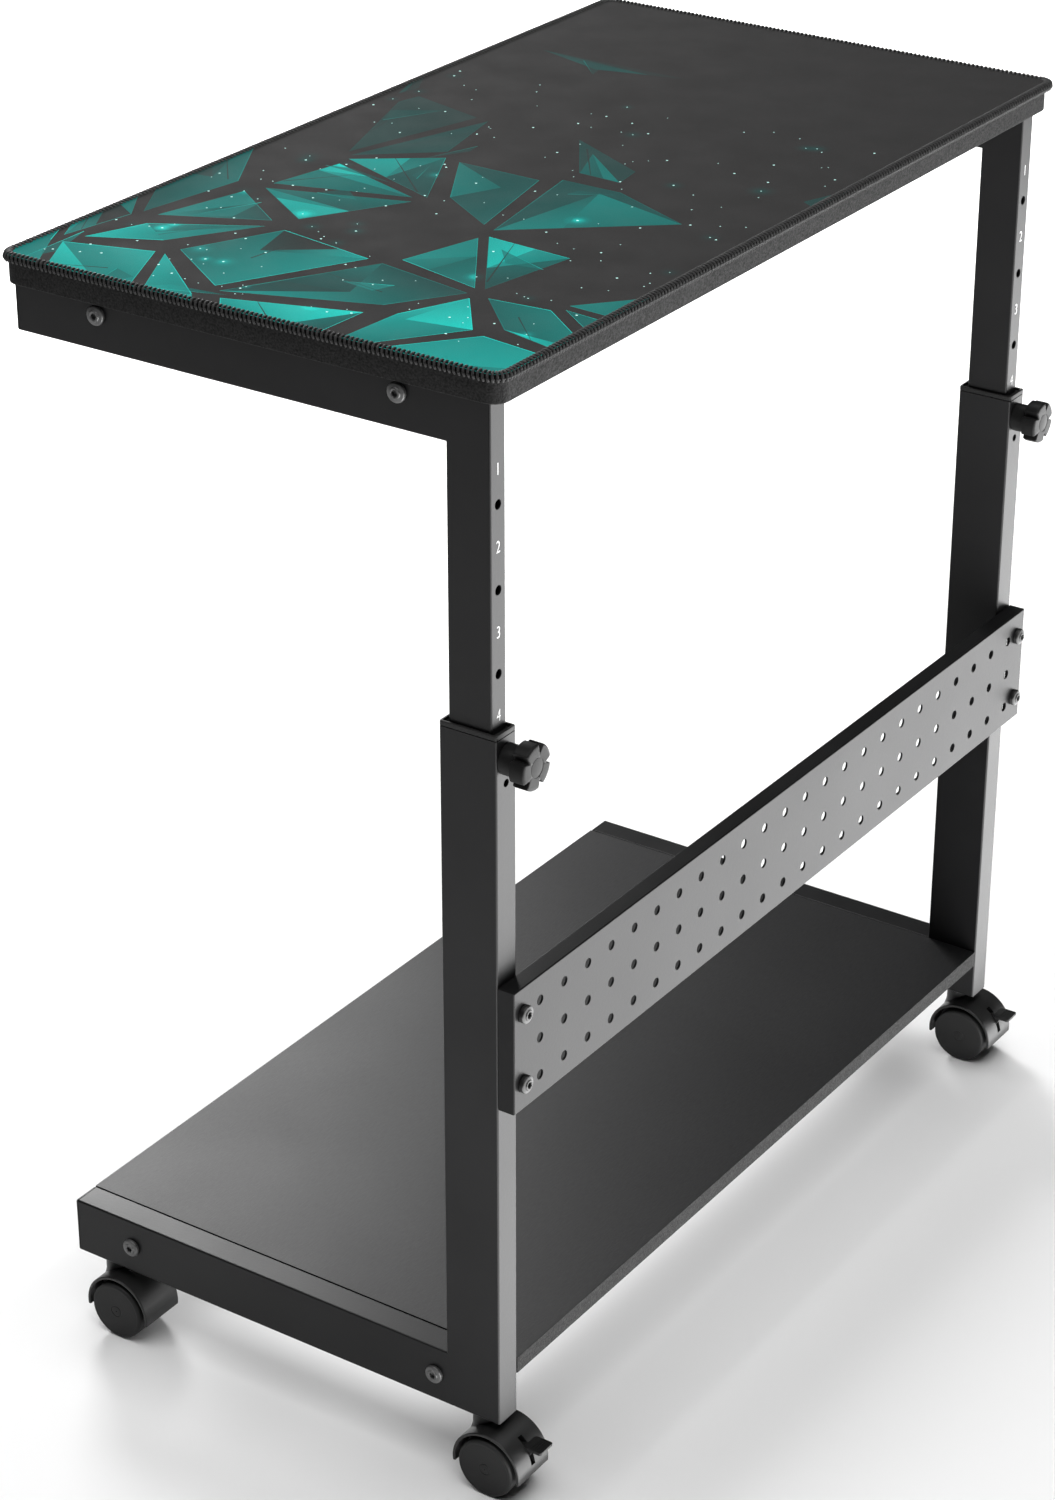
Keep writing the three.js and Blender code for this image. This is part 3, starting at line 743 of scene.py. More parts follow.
def board(name, body, material, radius, edge):
    """Laminated board with banded edges. edge is the radius of its softened arrises."""
    low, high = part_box(name)
    centre = (low + high) / 2
    wide = high.x - low.x
    deep = high.y - low.y
    steps = 4
    turns = [math.pi / 2 * i / steps for i in range(steps + 1)]
    sizes = [(edge * (1 - math.sin(turn)), edge * (1 - math.cos(turn))) for turn in turns]
    rings = []
    for inset, rise in sizes:
        rings.append((inset, low.z + rise))
    for inset, rise in reversed(sizes):
        rings.append((inset, high.z - rise))
    outlines = [
        (rounded(wide - 2 * inset, deep - 2 * inset, max(radius - inset, 0.1 * MM), 10), z)
        for inset, z in rings
    ]
    piece = loft(outlines, "z", (centre.x, centre.y, 0))
    panel = show(f"{name}_panel", piece, body, material, [name])
    panel.data.materials.append(EDGE_BAND)
    for face in panel.data.polygons:
        face.material_index = int(abs(face.normal.z) < 0.5)


# ------------------------------------------------------------------ desk mat

GROUND = (0.021, 0.0205, 0.0205)
SHADES = [GROUND, (0.004, 0.06, 0.056), (0.001, 0.2, 0.18), (0.004, 0.55, 0.48)]
SPARK = (0.6, 1.0, 0.95)
SHARD_CELL = 76 * MM
CLOTH_INSET = 1.6 * MM  # the cloth's edge is covered by the stitching
CLOTH_CORNER_R = 11 * MM
PRINT_END = 0.66  # share of the mat's length that the shards reach, from the front


def tint(level):
    """Colour for a brightness from 0 to 1."""
    place = max(0.0, min(level, 0.999)) * (len(SHADES) - 1)
    index = int(place)
    share = place - index
    return tuple(a + (b - a) * share for a, b in zip(SHADES[index], SHADES[index + 1]))


def counterclockwise(shape):
    area = sum(a.cross(b) for a, b in zip(shape, shape[1:] + shape[:1]))
    return shape if area > 0 else shape[::-1]


def inside(point, shape):
    """True if a point is within a convex outline that runs counter-clockwise."""
    return all((b - a).cross(point - a) > 0 for a, b in zip(shape, shape[1:] + shape[:1]))


def pulled_in(points, distance):
    """Polygon pulled in towards its middle."""
    centre = sum(points, Vector((0, 0))) / len(points)
    return [p + (centre - p).normalized() * min(distance, (centre - p).length / 2) for p in points]


def graded(level, centre, slope=Vector((0, 0))):
    """A brightness that changes evenly across the cloth."""
    return lambda point: level + (point - centre).dot(slope)


def shard_outlines(rng, wide, deep):
    """Triangles and four-sided shards scattered over the front of the mat."""
    columns = round(wide / SHARD_CELL) + 2
    rows = round(deep * PRINT_END / SHARD_CELL) + 2
    points = []
    for row in range(rows):
        for column in range(columns):
            x = -wide / 2 + (column - 0.5 + 0.5 * (row % 2) + rng.uniform(-0.42, 0.42)) * SHARD_CELL
            y = -deep / 2 + (row - 0.4 + rng.uniform(-0.42, 0.42)) * SHARD_CELL
            points.append(Vector((x, y)))
    corners, _, triangles = delaunay_2d_cdt(points, [], [], 0, 1e-6)[:3]
    sharing = {}
    for index, triangle in enumerate(triangles):
        for k in range(3):
            side = frozenset((triangle[k], triangle[(k + 1) % 3]))
            sharing.setdefault(side, []).append((index, triangle[(k + 2) % 3]))
    used = set()
    outlines = []
    for side, owners in sharing.items():
        if len(owners) < 2 or rng.random() < 0.3:
            continue
        (first, tip), (second, foot) = owners
        if first in used or second in used:
            continue
        a, b = side
        loop = [Vector(corners[k]) for k in (tip, a, foot, b)]
        turns = [
            (loop[(k + 1) % 4] - loop[k]).cross(loop[(k + 2) % 4] - loop[(k + 1) % 4])
            for k in range(4)
        ]
        if min(turns) > 0 or max(turns) < 0:
            used |= {first, second}
            outlines.append(loop)
    for index, triangle in enumerate(triangles):
        if index not in used:
            outlines.append([Vector(corners[k]) for k in triangle])
    return [counterclockwise(loop) for loop in outlines]


def shard_print(wide, deep):
    """The print as (outline, brightness, cover) layers, lowest first. The front is -Y."""
    rng = random.Random(23)
    layers = []
    for loop in shard_outlines(rng, wide, deep):
        centre = sum(loop, Vector((0, 0))) / len(loop)
        along = (centre.y + deep / 2) / deep
        bright = max(0.0, min(1.0, (PRINT_END - along) / (PRINT_END - 0.12)))
        if rng.random() > 0.22 + 0.72 * bright:
            continue
        level = 0.14 + 0.5 * bright * rng.uniform(0.55, 1.25)
        cover = 0.35 + 0.6 * min(1.0, bright * 1.8)
        shape = pulled_in(loop, rng.uniform(5, 15) * MM)
        inner = pulled_in(shape, 0.7 * MM)
        slope = Vector((rng.uniform(-1, 1), rng.uniform(-1, 1))) * 5 * bright
        layers.append((shape, graded(level, centre, slope), cover))
        for k in range(len(shape)):
            m = (k + 1) % len(shape)
            glow = rng.choice((0.06, 0.2, 0.42)) * (0.25 + bright)
            side = [shape[k], shape[m], inner[m], inner[k]]
            layers.append((side, graded(level + glow, centre, slope), cover))
        layers += facets(rng, inner, centre, level, bright)
        if rng.random() < 0.5:
            layers += splinter(rng, centre, bright)
    return layers


def splinter(rng, centre, bright):
    """A loose see-through sliver lying across the shards, with one bright edge."""
    heading = rng.uniform(0, 2 * math.pi)
    long = rng.uniform(24, 62) * MM
    wide = rng.uniform(5, 17) * MM
    along = Vector((math.cos(heading), math.sin(heading)))
    start = centre + along.orthogonal() * rng.uniform(-26, 26) * MM - along * long / 2
    tip = start + along * long
    foot = start + along * long * rng.uniform(0.2, 0.6) + along.orthogonal() * wide
    edge = (tip - start) * 0.02 + along.orthogonal() * 0.6 * MM
    level = 0.2 + bright * rng.uniform(0.15, 0.6)
    slope = along * rng.uniform(-6, 6) * bright
    body = ([start, tip, foot], graded(level, centre, slope), 0.55)
    shine = ([start, tip, start + edge], graded(level + 0.3, centre), 0.9)
    return [body, shine]


def facets(rng, shape, centre, level, bright):
    """Lighter and darker planes inside a shard, some dark slits and bright slivers."""
    made = []
    turn = rng.randrange(len(shape))
    tip, left = shape[turn], shape[(turn + 1) % len(shape)]
    right = shape[turn - 1]
    foot = left.lerp(right, rng.uniform(0.3, 0.7))
    slope = Vector((rng.uniform(-1, 1), rng.uniform(-1, 1))) * 7 * bright
    change = rng.choice((-0.22, -0.14, 0.16, 0.26)) * (0.3 + bright)
    made.append(([tip, left, foot], graded(level + change, centre, slope), 0.8))
    if rng.random() < 0.6:
        cut = left.lerp(tip, rng.uniform(0.3, 0.7))
        made.append(([left, foot, cut], graded(level + change * 1.7, centre, -slope), 0.7))
    if rng.random() < 0.55:
        start = left.lerp(tip, rng.uniform(0.2, 0.8))
        stop = right.lerp(foot, rng.uniform(0.1, 0.9))
        across = (stop - start).normalized().orthogonal() * rng.uniform(0.5, 1.6) * MM
        slit = [start, stop, stop + across, start + across * 0.3]
        made.append((slit, graded(0.05, centre), 0.85))
    return made


def glows(rng, wide, deep):
    """Points of light as (place, radius, strength), and their small bright dots."""
    lights = []
    dots = []
    for count, radius in ((34, 8.0), (170, 0)):
        for _ in range(count):
            x = rng.uniform(-0.47, 0.47) * wide
            y = (-0.47 + 0.68 * rng.random() ** 1.25) * deep
            place = Vector((x, y))
            if radius:
                lights.append((place, radius * MM * rng.uniform(0.7, 1.5), rng.uniform(0.4, 1.0)))
            size = rng.choice((0.4, 0.5, 0.75)) * MM
            dots.append([place + Vector(p) for p in circle(size, 8)])
    return lights, dots


def desk_mat():
    """Cloth slab whose flat top is divided along the print's edges, with a stitched edge."""
    low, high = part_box("desk_mat")
    centre = (low + high) / 2
    wide = high.x - low.x - 2 * CLOTH_INSET
    deep = high.y - low.y - 2 * CLOTH_INSET
    top = high.z
    outline = [Vector(p) for p in rounded(wide, deep, CLOTH_CORNER_R, 12)]
    layers = shard_print(wide, deep)
    lights, dots = glows(random.Random(7), wide, deep)
    points = list(outline)
    polygons = [list(range(len(outline)))]
    rings = []
    for place, size, _ in lights:
        points.append(place)
        for share in (0.3, 0.6, 1.0):
            rings.append([place + Vector(p) for p in circle(size * share, 12)])
    shapes = [counterclockwise(shape) for shape in [layer[0] for layer in layers] + rings + dots]
    for shape in shapes:
        polygons.append(list(range(len(points), len(points) + len(shape))))
        points += shape
    flat, _, tiles, _, _, sources = delaunay_2d_cdt(points, [], polygons, 1, 1e-7)
    first_dot = 1 + len(layers) + len(rings)

    def colour(point, over):
        if max(over) >= first_dot:
            return SPARK
        level = 0.0
        for index in sorted(over):
            if 0 < index <= len(layers):
                _, brightness, cover = layers[index - 1]
                level += (brightness(point) - level) * cover
        for place, size, strength in lights:
            near = max(0.0, 1 - (point - place).length / size)
            level += strength * near * near * (0.25 + level)
        return tint(level)

    mesh = bmesh.new()
    corner_colours = mesh.loops.layers.float_color.new("print")
    raised = [mesh.verts.new((centre.x + p.x, centre.y + p.y, top)) for p in flat]
    for tile, over in zip(tiles, sources):
        if 0 not in over:
            continue
        core = sum((flat[i] for i in tile), Vector((0, 0))) / len(tile)
        over = [i for i in over if i == 0 or inside(core, shapes[i - 1])]
        face = mesh.faces.new([raised[i] for i in tile])
        for loop in face.loops:
            point = Vector((loop.vert.co.x - centre.x, loop.vert.co.y - centre.y))
            loop[corner_colours] = (*colour(point, over), 1)
    for vert in [v for v in mesh.verts if not v.link_faces]:
        mesh.verts.remove(vert)
    rim = {edge for edge in mesh.edges if len(edge.link_faces) == 1}
    skirt = bmesh.ops.extrude_edge_only(mesh, edges=list(rim))["geom"]
    lowered = [item for item in skirt if isinstance(item, bmesh.types.BMVert)]
    bmesh.ops.translate(mesh, verts=lowered, vec=(0, 0, low.z - top))
    bottom_edges = [item for item in skirt if isinstance(item, bmesh.types.BMEdge)]
    bottom = [edge for edge in bottom_edges if all(v in set(lowered) for v in edge.verts)]
    bmesh.ops.contextual_create(mesh, geom=bottom)
    bmesh.ops.recalc_face_normals(mesh, faces=mesh.faces)
    for face in mesh.faces:
        if face.normal.z < 0.5:
            for loop in face.loops:
                loop[corner_colours] = (*GROUND, 1)
    piece = show("desk_mat_cloth", mesh, "upper_frame", CLOTH, ["desk_mat"])
    threads = stitches(low, high)


def rim_path(low, high, pitch):
    """Points (x, y, outward x, outward y) along the mat's edge at an even pitch."""
    radius = 12 * MM
    wide = high.x - low.x
    deep = high.y - low.y
    centre = (low + high) / 2
    corners = rounded(wide, deep, radius, 24)
    loop = corners + corners[:1]
    lengths = [0.0]
    for a, b in zip(loop, loop[1:]):
        lengths.append(lengths[-1] + math.dist(a, b))
    count = 2 * round(lengths[-1] / pitch / 2)
    found = []
    index = 0
    for i in range(count):
        target = lengths[-1] * i / count
        while lengths[index + 1] < target:
            index += 1
        share = (target - lengths[index]) / (lengths[index + 1] - lengths[index])
        x = loop[index][0] + (loop[index + 1][0] - loop[index][0]) * share
        y = loop[index][1] + (loop[index + 1][1] - loop[index][1]) * share
        kx = max(-wide / 2 + radius, min(x, wide / 2 - radius))
        ky = max(-deep / 2 + radius, min(y, deep / 2 - radius))
        size = math.hypot(x - kx, y - ky)
        found.append((centre.x + x, centre.y + y, (x - kx) / size, (y - ky) / size))
    return found


# Sections of the stitched edge as (outward, up) in mm from the top of the mat's outer edge
RIM_CORE = [
    (-5.8, -0.4), (-5.0, -0.05), (-3.6, 0.1), (-2.2, 0.0), (-1.5, -0.5), (-1.2, -1.2),
    (-1.2, -2.3), (-1.3, -3.4), (-1.8, -4.6), (-3.0, -4.7), (-3.4, -3.5), (-5.6, -3.4),
]
OVER_THREAD = [
    (-6.0, -0.4), (-5.3, 0.15), (-3.8, 0.5), (-2.3, 0.35), (-1.35, -0.3), (-1.0, -1.2), (-1.0, -2.4),
    (-1.15, -3.5), (-1.8, -4.5),
]
CHAIN_THREAD = [(-0.55, -2.2), (-0.25, -2.5), (-0.55, -2.8)]


def stitches(low, high):
    """Overlocked edge: ribs of thread over a padded core, and a chain row under them. The core's
    near-black colour is painted shade in the gaps between the ribs.
    """
    top = high.z
    posts = rim_path(low, high, STITCH_PITCH)
    count = len(posts)

    def at(post, outward, rise):
        x, y, nx, ny = post
        return Vector((x + nx * outward * MM, y + ny * outward * MM, top + rise * MM))

    def between(i, share):
        i, share = (i + math.floor(share)) % count, share % 1
        a = posts[i]
        b = posts[(i + 1) % count]
        mixed_post = [p + (q - p) * share for p, q in zip(a, b)]
        size = math.hypot(mixed_post[2], mixed_post[3])
        return mixed_post[0], mixed_post[1], mixed_post[2] / size, mixed_post[3] / size

    def laid(i, start, slant, section):
        """A thread's path over a section, moving along the edge by a share of the pitch."""
        steps = len(section) - 1
        return [at(between(i, start + slant * k / steps), *point) for k, point in enumerate(section)]

    verts = [at(post, *point) for post in posts for point in RIM_CORE]
    faces = []
    core = len(RIM_CORE)
    for i in range(count):
        ahead = (i + 1) % count
        for k in range(core):
            beside = (k + 1) % core
            corners = (i * core + k, i * core + beside, ahead * core + beside, ahead * core + k)
            faces.append(corners)
    # The core's near-black colour is painted shade between the thread ribs.
    pieces = [yarn("desk_mat_edge_core", verts, faces, CORE_YARN_PAINTED_SHADE)]

    verts = []
    faces = []

    def strand(line, radius, sides=6):
        start = len(verts)
        for i, point in enumerate(line):
            ahead = line[min(i + 1, len(line) - 1)] - line[max(i - 1, 0)]
            across = ahead.cross(Vector((0.31, 0.17, 0.93))).normalized()
            other = ahead.cross(across).normalized()
            for k in range(sides):
                angle = 2 * math.pi * k / sides
                verts.append(point + (across * math.cos(angle) + other * math.sin(angle)) * radius)
        for i in range(len(line) - 1):
            for k in range(sides):
                a = start + i * sides + k
                b = start + i * sides + (k + 1) % sides
                faces.append((a, b, b + sides, a + sides))
        faces.append(tuple(start + k for k in reversed(range(sides))))
        faces.append(tuple(start + (len(line) - 1) * sides + k for k in range(sides)))

    for i in range(count):
        strand(laid(i, 0.05, 0.3, OVER_THREAD), THREAD_R)
        strand(laid(i, 0.1, 0.6, CHAIN_THREAD), THREAD_R * 0.55)
    pieces.append(yarn("desk_mat_stitching", verts, faces, THREAD))
    return pieces


def yarn(name, verts, faces, material):
    data = bpy.data.meshes.new(name)
    data.from_pydata(verts, [], faces)
    piece = bpy.data.objects.new(name, data)
    bpy.context.scene.collection.objects.link(piece)
    return show(name, piece, "upper_frame", material, (), 60)


# ------------------------------------------------------------------ locking knobs

KNOB_LOBES = 5
KNOB_SIDES = 200
LOBE_SHARE = 0.68  # of the half pitch from a lobe's middle to the notch's middle
NOTCH_SHARE = 0.26  # of the same, over which the outline falls into the notch
KNOB_HEAD_R = 14.4 * MM
KNOB_NOTCH_R = 10.4 * MM
KNOB_HUB_R = 9.7 * MM
KNOB_HUB_LONG = 11 * MM


def star(shrink):
    """The knob head's outline, pulled in by a distance. One lobe points along -Y."""
    points = []
    pitch = 2 * math.pi / KNOB_LOBES
    for i in range(KNOB_SIDES):
        angle = 2 * math.pi * i / KNOB_SIDES
        from_lobe = abs((angle - math.pi + pitch / 2) % pitch - pitch / 2) / (pitch / 2)
        share = max(0.0, min(1.0, (from_lobe - LOBE_SHARE) / NOTCH_SHARE))
        notch = share * share * (3 - 2 * share)
        radius = KNOB_HEAD_R - (KNOB_HEAD_R - KNOB_NOTCH_R) * notch - shrink
        points.append((radius * math.cos(angle), radius * math.sin(angle)))
    return points


def knob(end):
    """Star grip: round hub with a recessed foot, and a five-lobed head with rounded edges."""
    name = f"{end}_knob"
    low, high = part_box(name)
    centre = middle(f"{end}_knob_bolt")
    foot = low.x
    reach = high.x
    neck = foot + KNOB_HUB_LONG - 0.3 * MM
    hub = [
        (3.4 * MM, foot + 7 * MM),
        (3.4 * MM, foot),
        (KNOB_HUB_R - 0.6 * MM, foot),
        (KNOB_HUB_R - 0.15 * MM, foot + 0.2 * MM),
        (KNOB_HUB_R, foot + 0.7 * MM),
        (KNOB_HUB_R, neck - 0.8 * MM),
        (KNOB_HUB_R + 0.2 * MM, neck),
    ]
    head = [
        (1.0 * MM, neck),
        (0.3 * MM, neck + 0.3 * MM),
        (0, neck + 1.0 * MM),
        (0, reach - 1.5 * MM),
        (0.15 * MM, reach - 0.9 * MM),
        (0.6 * MM, reach - 0.35 * MM),
        (1.4 * MM, reach - 0.1 * MM),
        (2.6 * MM, reach),
    ]
    disc = [
        (6.6 * MM, reach),
        (6.3 * MM, reach - 0.25 * MM),
        (5.9 * MM, reach - 0.25 * MM),
        (5.6 * MM, reach - 0.05 * MM),
        (0.5 * MM, reach),
    ]
    lobed = [(star(shrink), height) for shrink, height in head]
    rings = turned(hub, KNOB_SIDES) + lobed + turned(disc, KNOB_SIDES)
    piece = loft(rings, "x", (0, centre.y, centre.z))
    show(f"{name}_grip", piece, f"{end}_locking_knob", KNOB_PLASTIC, [name], 40)


# ------------------------------------------------------------------ casters

HOOD_R = 25.5 * MM
HOOD_THICK = 2.2 * MM
HOOD_WIDTH = 34 * MM
HOOD_END_Z = 16.5 * MM
WEB_WIDTH = 9 * MM
NECK_R = 7.5 * MM
NECK_TOP = 51.4 * MM
THREAD_TURNS = 5  # of the stem's thread that are above its nut
THREAD_PITCH = 1.1 * MM
LEVER_SLOT = 4.2 * MM
PIVOT_X = 26 * MM  # the brake lever's pivot, ahead of the swivel axis
PIVOT_Z = 31 * MM
PIVOT_BORE_R = 2.3 * MM
STEM_TIP_Z = 29.7 * MM  # floor of the bore for the stem's thin tip
STEM_TIP_BORE_R = 3.3 * MM
LEVER_ARM_HALF = 1.5 * MM
PEDAL_HALF = 7.2 * MM
PEDAL_THICK = 2.2 * MM
PEDAL_GROOVES = 4
GROOVE_PITCH = 1.8 * MM


def arc(centre, radius, start, stop, steps):
    """Points (z, x) along an arc in the X-Z plane, with angles from +X towards +Z."""
    points = []
    for i in range(steps + 1):
        angle = start + (stop - start) * i / steps
        points.append((centre.z + radius * math.sin(angle), centre.x + radius * math.cos(angle)))
    return points


def caster_housing(name, body, braked):
    """Hood over both wheels with rounded lips, the web between them and the neck."""
    axle = middle(f"{name}_axle")
    stem = middle(f"{name}_caster_stem")
    below = math.asin((axle.z - HOOD_END_Z) / HOOD_R)
    outer = arc(axle, HOOD_R, -below, math.pi + below, 72)
    inner = arc(axle, HOOD_R - HOOD_THICK, math.pi + below, -below, 72)
    y = axle.y
    shell = prism(outer + inner, "y", y - HOOD_WIDTH / 2, y + HOOD_WIDTH / 2)
    bevel(shell, 0.75 * MM, 4, sharp(50))
    web_arc = arc(axle, HOOD_R - HOOD_THICK * 0.6, -below, math.pi + below, 48)
    web = prism(web_arc, "y", y - WEB_WIDTH / 2, y + WEB_WIDTH / 2)
    root = axle.z + HOOD_R - 4 * MM
    neck_profile = [
        (NECK_R + 1.6 * MM, root - 6 * MM),
        (NECK_R + 0.5 * MM, root - 2.5 * MM),
        (NECK_R, root),
        (NECK_R, NECK_TOP - 0.8 * MM),
        (NECK_R - 0.25 * MM, NECK_TOP - 0.2 * MM),
        (NECK_R - 0.9 * MM, NECK_TOP),
    ]
    neck = loft(turned(neck_profile), "z", (stem.x, y, 0))
    room = cylinder("y", axle, HOOD_R - HOOD_THICK * 0.6, 60 * MM, 72)
    neck = carve(neck, [room])
    cutters = [
        cylinder("z", (stem.x, y, NECK_TOP), 4.3 * MM, 21 * MM),
        cylinder("z", (stem.x, y, NECK_TOP), STEM_TIP_BORE_R, 2 * (NECK_TOP - STEM_TIP_Z)),
        cylinder("y", axle, 2.7 * MM, 60 * MM),
    ]
    if braked:
        pivot_x = stem.x + PIVOT_X
        slot = block(
            (pivot_x - 6 * MM, y - LEVER_SLOT / 2, 24 * MM),
            (pivot_x + 30 * MM, y + LEVER_SLOT / 2, 41.5 * MM),
        )
        cutters.append(slot)
        cutters.append(cylinder("y", (pivot_x, y, PIVOT_Z), PIVOT_BORE_R, 60 * MM))
    whole = carve(carve(shell, [web, neck], "UNION"), cutters)
    replaced = [f"{name}_caster_housing"]
    show(f"{name}_housing", whole, body, CASTER_PLASTIC, replaced, 38)


def wheel(name, which, body):
    """Wheel with a slightly dished disc face, a rounded shoulder and a moulded tread."""
    node_name = f"{name}_wheel_{which}"
    low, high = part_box(node_name)
    centre = (low + high) / 2
    out = -1 if which == "front" else 1
    face = low.y if out < 0 else high.y
    inner = high.y if out < 0 else low.y
    radius = centre.z
    profile = [
        (2.7 * MM, inner),
        (radius - 3.6 * MM, inner),
        (radius - 3.2 * MM, inner + out * 0.2 * MM),
        (radius - 0.8 * MM, inner + out * 0.2 * MM),
        (radius - 0.2 * MM, inner + out * 0.5 * MM),
        (radius, inner + out * 1.1 * MM),
    ]
    shoulder = 1.9 * MM
    for step in range(7):
        angle = math.pi / 2 * step / 6
        profile.append(
            (radius - shoulder * (1 - math.cos(angle)), face - out * shoulder * (1 - math.sin(angle)))
        )
    profile += [
        (radius - 2.6 * MM, face),
        (radius - 2.9 * MM, face - out * 0.12 * MM),
        (radius - 3.3 * MM, face - out * 0.12 * MM),
        (radius - 3.7 * MM, face - out * 0.02 * MM),
        (radius * 0.55, face - out * 0.12 * MM),
        (4.4 * MM, face - out * 0.2 * MM),
        (4.1 * MM, face - out * 0.45 * MM),
        (3.7 * MM, face - out * 0.45 * MM),
        (3.3 * MM, face - out * 0.2 * MM),
        (0.4 * MM, face - out * 0.1 * MM),
        (0.4 * MM, face - out * 1.2 * MM),
        (2.7 * MM, face - out * 1.4 * MM),
    ]
    piece = loft(turned(profile, 72), "y", (centre.x, 0, centre.z), closed=True)
    show(f"{node_name}_disc", piece, body, WHEEL_PLASTIC, [node_name], 30)


def stem(name):
    """Threaded caster stem with a collar under the tube and a nut above its wall."""
    node_name = f"{name}_caster_stem"
    low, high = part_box(node_name)
    centre = (low + high) / 2
    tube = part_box("front_lower_rail")[0].z
    nut_low = tube + 3.6 * MM
    nut_high = nut_low + 6 * MM
    rings = turned([
        (2.4 * MM, low.z),
        (3 * MM, low.z + 0.6 * MM),
        (3 * MM, 41 * MM),
        (4 * MM, 41.4 * MM),
        (4 * MM, NECK_TOP + 0.1 * MM),
        (6.2 * MM, NECK_TOP + 0.1 * MM),
        (6.4 * MM, NECK_TOP + 0.3 * MM),
        (6.2 * MM, NECK_TOP + 0.5 * MM),
        (3.7 * MM, NECK_TOP + 0.5 * MM),
        (3.7 * MM, nut_low),
    ])
    rings += [
        (hexagon(5.2 * MM), nut_low),
        (hexagon(5.5 * MM), nut_low + 0.5 * MM),
        (hexagon(5.5 * MM), nut_high - 0.5 * MM),
        (hexagon(5.2 * MM), nut_high),
        (circle(3.5 * MM), nut_high),
    ]
    for turn in range(THREAD_TURNS):
        base = nut_high + turn * THREAD_PITCH
        rings += turned([(4 * MM, base + 0.5 * MM), (3.5 * MM, base + 1.0 * MM)])
    rings.append((circle(3 * MM), high.z))
    piece = loft(rings, "z", (centre.x, centre.y, 0))
    show(f"{name}_stem", piece, "lower_frame", ZINC, [node_name], 30)


def axle(name, body):
    node_name = f"{name}_axle"
    low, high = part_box(node_name)
    centre = (low + high) / 2
    radius = (high.z - low.z) / 2
    chamfer = 0.4 * MM
    profile = [
        (radius - chamfer, low.y),
        (radius, low.y + chamfer),
        (radius, high.y - chamfer),
        (radius - chamfer, high.y),
    ]
    piece = loft(turned(profile), "y", (centre.x, 0, centre.z))
    show(f"{name}_axle_pin", piece, body, ZINC, [node_name])


def brake_lever(name, body):
    """Foot pedal with a grip edge, on an arm that pivots between the wheels."""
    node_name = f"{name}_brake_lever"
    low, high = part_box(node_name)
    y = (low.y + high.y) / 2
    x = middle(f"{name}_caster_stem").x + PIVOT_X
    z = PIVOT_Z
    arm_outline = [(-4, -3), (3, -4.5), (8, -2), (13, 6.5), (13, 8.6), (8, 8.6), (-3, 4)]
    placed = [(z + b * MM, x + a * MM) for a, b in arm_outline]
    arm = prism(placed, "y", y - LEVER_ARM_HALF, y + LEVER_ARM_HALF)
    bevel(arm, 0.5 * MM, 3, sharp(30))
    tip = high.x
    top = high.z
    plan = [
        (x + 8 * MM, y - 5.5 * MM),
        (x + 10 * MM, y - PEDAL_HALF),
        (tip - 1 * MM, y - PEDAL_HALF),
        (tip, y - PEDAL_HALF + 1 * MM),
        (tip, y + PEDAL_HALF - 1 * MM),
        (tip - 1 * MM, y + PEDAL_HALF),
        (x + 10 * MM, y + PEDAL_HALF),
        (x + 8 * MM, y + 5.5 * MM),
    ]
    pedal = prism(plan, "z", top - PEDAL_THICK, top)
    bevel(pedal, 0.45 * MM, 3, sharp(30))
    grooves = [
        block(
            (tip - 2.6 * MM - k * GROOVE_PITCH, y - PEDAL_HALF + 1.5 * MM, top - 0.35 * MM),
            (tip - 1.9 * MM - k * GROOVE_PITCH, y + PEDAL_HALF - 1.5 * MM, top + MM),
        )
        for k in range(PEDAL_GROOVES)
    ]
    pin = cylinder("y", (x, y, z), 2 * MM, 8.4 * MM, 32)
    bevel(pin, 0.3 * MM, 2, sharp(50))
    lever = carve(carve(arm, [pedal, pin], "UNION"), [merged(*grooves)])
    show(f"{name}_brake_pedal", lever, body, LEVER_PLASTIC, [node_name], 30)


# ------------------------------------------------------------------ printed numbers

def numbers(end):
    """Height numbers 1 to 4 on the upper post's outer side face."""
    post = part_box(f"{end}_upper_post")[1]
    bolt = middle(f"{end}_knob_bolt")
    for number, rise in enumerate(DIGIT_RISES, 1):
        curve = bpy.data.curves.new(f"digit_{number}", "FONT")
        curve.body = str(number)
        curve.size = DIGIT_SIZE
        curve.extrude = DIGIT_INK
        curve.offset = -DIGIT_THINNING
        curve.align_x = "CENTER"
        curve.align_y = "CENTER"
        text = bpy.data.objects.new("digit", curve)
        bpy.context.scene.collection.objects.link(text)
        graph = bpy.context.evaluated_depsgraph_get()
        data = bpy.data.meshes.new_from_object(text.evaluated_get(graph), depsgraph=graph)
        bpy.data.objects.remove(text)
        mesh = bmesh.new()
        mesh.from_mesh(data)
        for vert in mesh.verts:
            across, up, out = vert.co
            x = post.x + 0.01 * MM + out
            vert.co = Vector((x, bolt.y + across * DIGIT_NARROWING, bolt.z + rise * MM + up))
        show(f"{end}_number_{number}", mesh, "upper_frame", INK, (), 30)


# ------------------------------------------------------------------ assembly

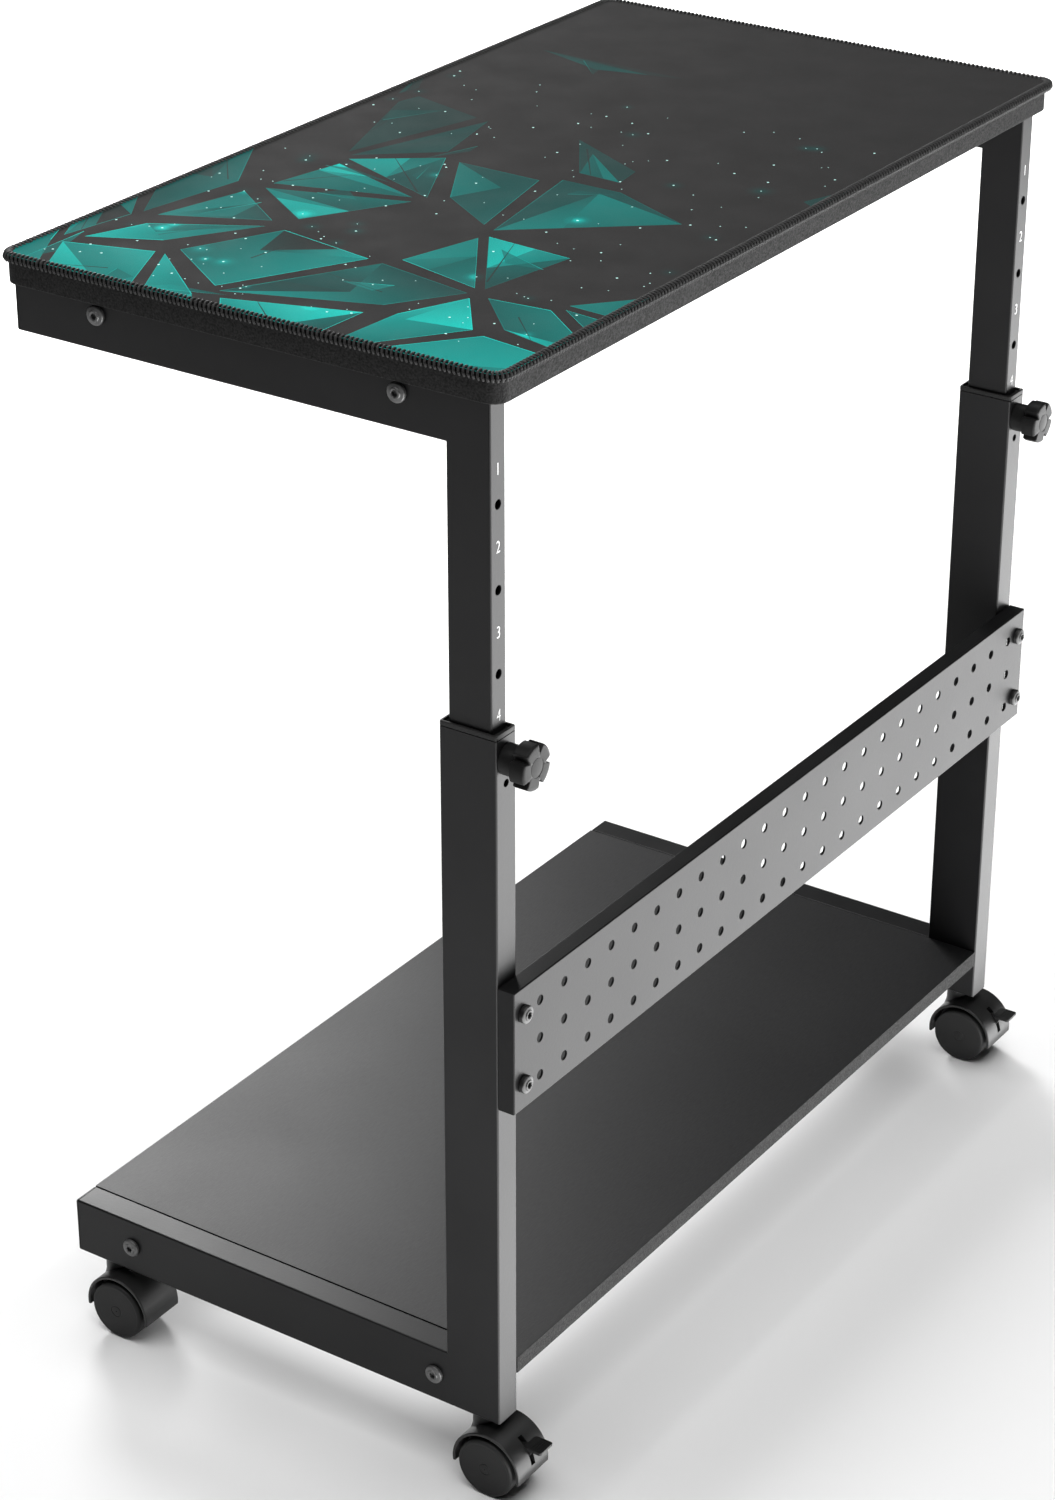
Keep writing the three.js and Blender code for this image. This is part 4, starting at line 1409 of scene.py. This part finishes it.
for end, out in ENDS.items():
    lower_corner(end)
    upper_corner(end)
    numbers(end)
    knob(end)
    end_cap(f"{end}_lower_end_cap", "lower_frame")
    end_cap(f"{end}_apron_end_cap", "upper_frame")
    post_sleeve(f"{end}_post_sleeve")
    for side in SIDES:
        button_screw(f"{end}_lower_screw_{side}", "lower_frame", "y", out)
        button_screw(f"{end}_apron_screw_{side}", "upper_frame", "y", out)
        caster = f"{end}_{side}"
        braked = side == "right"
        caster_housing(caster, f"{caster}_swivel", braked)
        axle(caster, f"{caster}_swivel")
        stem(caster)
        for which in ENDS:
            wheel(caster, which, f"{caster}_{which}_wheel")
        if braked:
            brake_lever(caster, f"{caster}_brake")
    for level in ("low", "high"):
        button_screw(f"{end}_guard_screw_{level}", "lower_frame", "x", 1)
    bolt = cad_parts[f"{end}_knob_bolt"]
    bolt.data.materials.clear()
    bolt.data.materials.append(ZINC)

for side in SIDES:
    for level, body in (("lower", "lower_frame"), ("upper", "upper_frame")):
        bar = f"{level}_crossbar_{side}"
        show(f"{bar}_tube", square_tube(bar), body, POWDER, [bar])

guard_panel()
board("base_board", "lower_frame", BOARD, 1.0 * MM, 0.35 * MM)
board("top_board", "upper_frame", EDGE_BAND, 10 * MM, 0.8 * MM)
desk_mat()


# ------------------------------------------------------------------ floor, light and camera

def floor():
    mesh = bmesh.new()
    half = FLOOR_SIZE / 2
    mesh.faces.new([mesh.verts.new((x * half, y * half, 0)) for x, y in circle(1.0, 4)])
    material, tree, shader = new_material("floor", (0.9,) * 3, 0.7)
    tinted(tree, shader, noise(tree, coordinates(tree), 3, 2), (0.9,) * 3, (0.92,) * 3)
    piece = to_object("floor", mesh)
    piece.data.materials.append(material)


# Name, place, target, size in metres and power in watts. low_right lies on the floor and lights
# the post side, and backdrop is a narrow beam that only reaches the floor behind the stand.
LIGHTS = [
    ("overhead", (0.0, 0.0, 4.0), (0, 0, 0.5), (5.0, 5.0), 240),
    ("rear_left", (-2.05, 1.6, 1.4), (-0.15, -0.3, 0.1), (0.8, 0.8), 52),
    ("low_right", (1.6, 0.65, 0.004), (1.6, 0.65, 1.0), (2.8, 3.4), 165),
    ("under_deck", (0.0, 0.0, 0.056), (0.0, 0.0, 0.0), (0.2, 0.55), 0.6),
    ("backdrop", (-1.75, 2.9, 3.0), (-1.75, 2.9, 0.0), (2.5, 2.0), 50),
]
BACKDROP_SPREAD = math.radians(80)


def softbox(name, place, target, size, power):
    """A rectangular area light that the camera doesn't see, but that shows in reflections."""
    light = bpy.data.lights.new(name, "AREA")
    light.shape = "RECTANGLE"
    light.size, light.size_y = size
    light.energy = power
    lamp = bpy.data.objects.new(name, light)
    bpy.context.scene.collection.objects.link(lamp)
    lamp.location = place
    lamp.rotation_euler = (Vector(target) - Vector(place)).to_track_quat("-Z", "Y").to_euler()
    lamp.visible_camera = False
    return lamp


def studio():
    for name, place, target, size, power in LIGHTS:
        lamp = softbox(name, place, target, size, power)
        if name == "backdrop":
            lamp.data.spread = BACKDROP_SPREAD
    world = bpy.data.worlds.new("studio")
    world.use_nodes = True
    tree = world.node_tree
    place = node(tree, "ShaderNodeTexCoord")
    split = node(tree, "ShaderNodeSeparateXYZ")
    tree.links.new(place.outputs["Generated"], split.inputs["Vector"])
    level = span(tree, split.outputs["Z"], 0.8, 0.12, 0.02, 0.3)
    tree.links.new(level, tree.nodes["Background"].inputs["Strength"])
    bpy.context.scene.world = world
    bpy.context.scene.view_settings.view_transform = "Standard"


def camera():
    lens = bpy.data.cameras.new("camera")
    lens.lens = CAMERA["lens"]
    view = bpy.data.objects.new("camera", lens)
    bpy.context.scene.collection.objects.link(view)
    view.location = CAMERA["place"]
    tilt = math.radians(90 - CAMERA["elevation"])
    view.rotation_euler = (tilt, 0, math.radians(CAMERA["azimuth"]))
    bpy.context.scene.camera = view


floor()
studio()
camera()
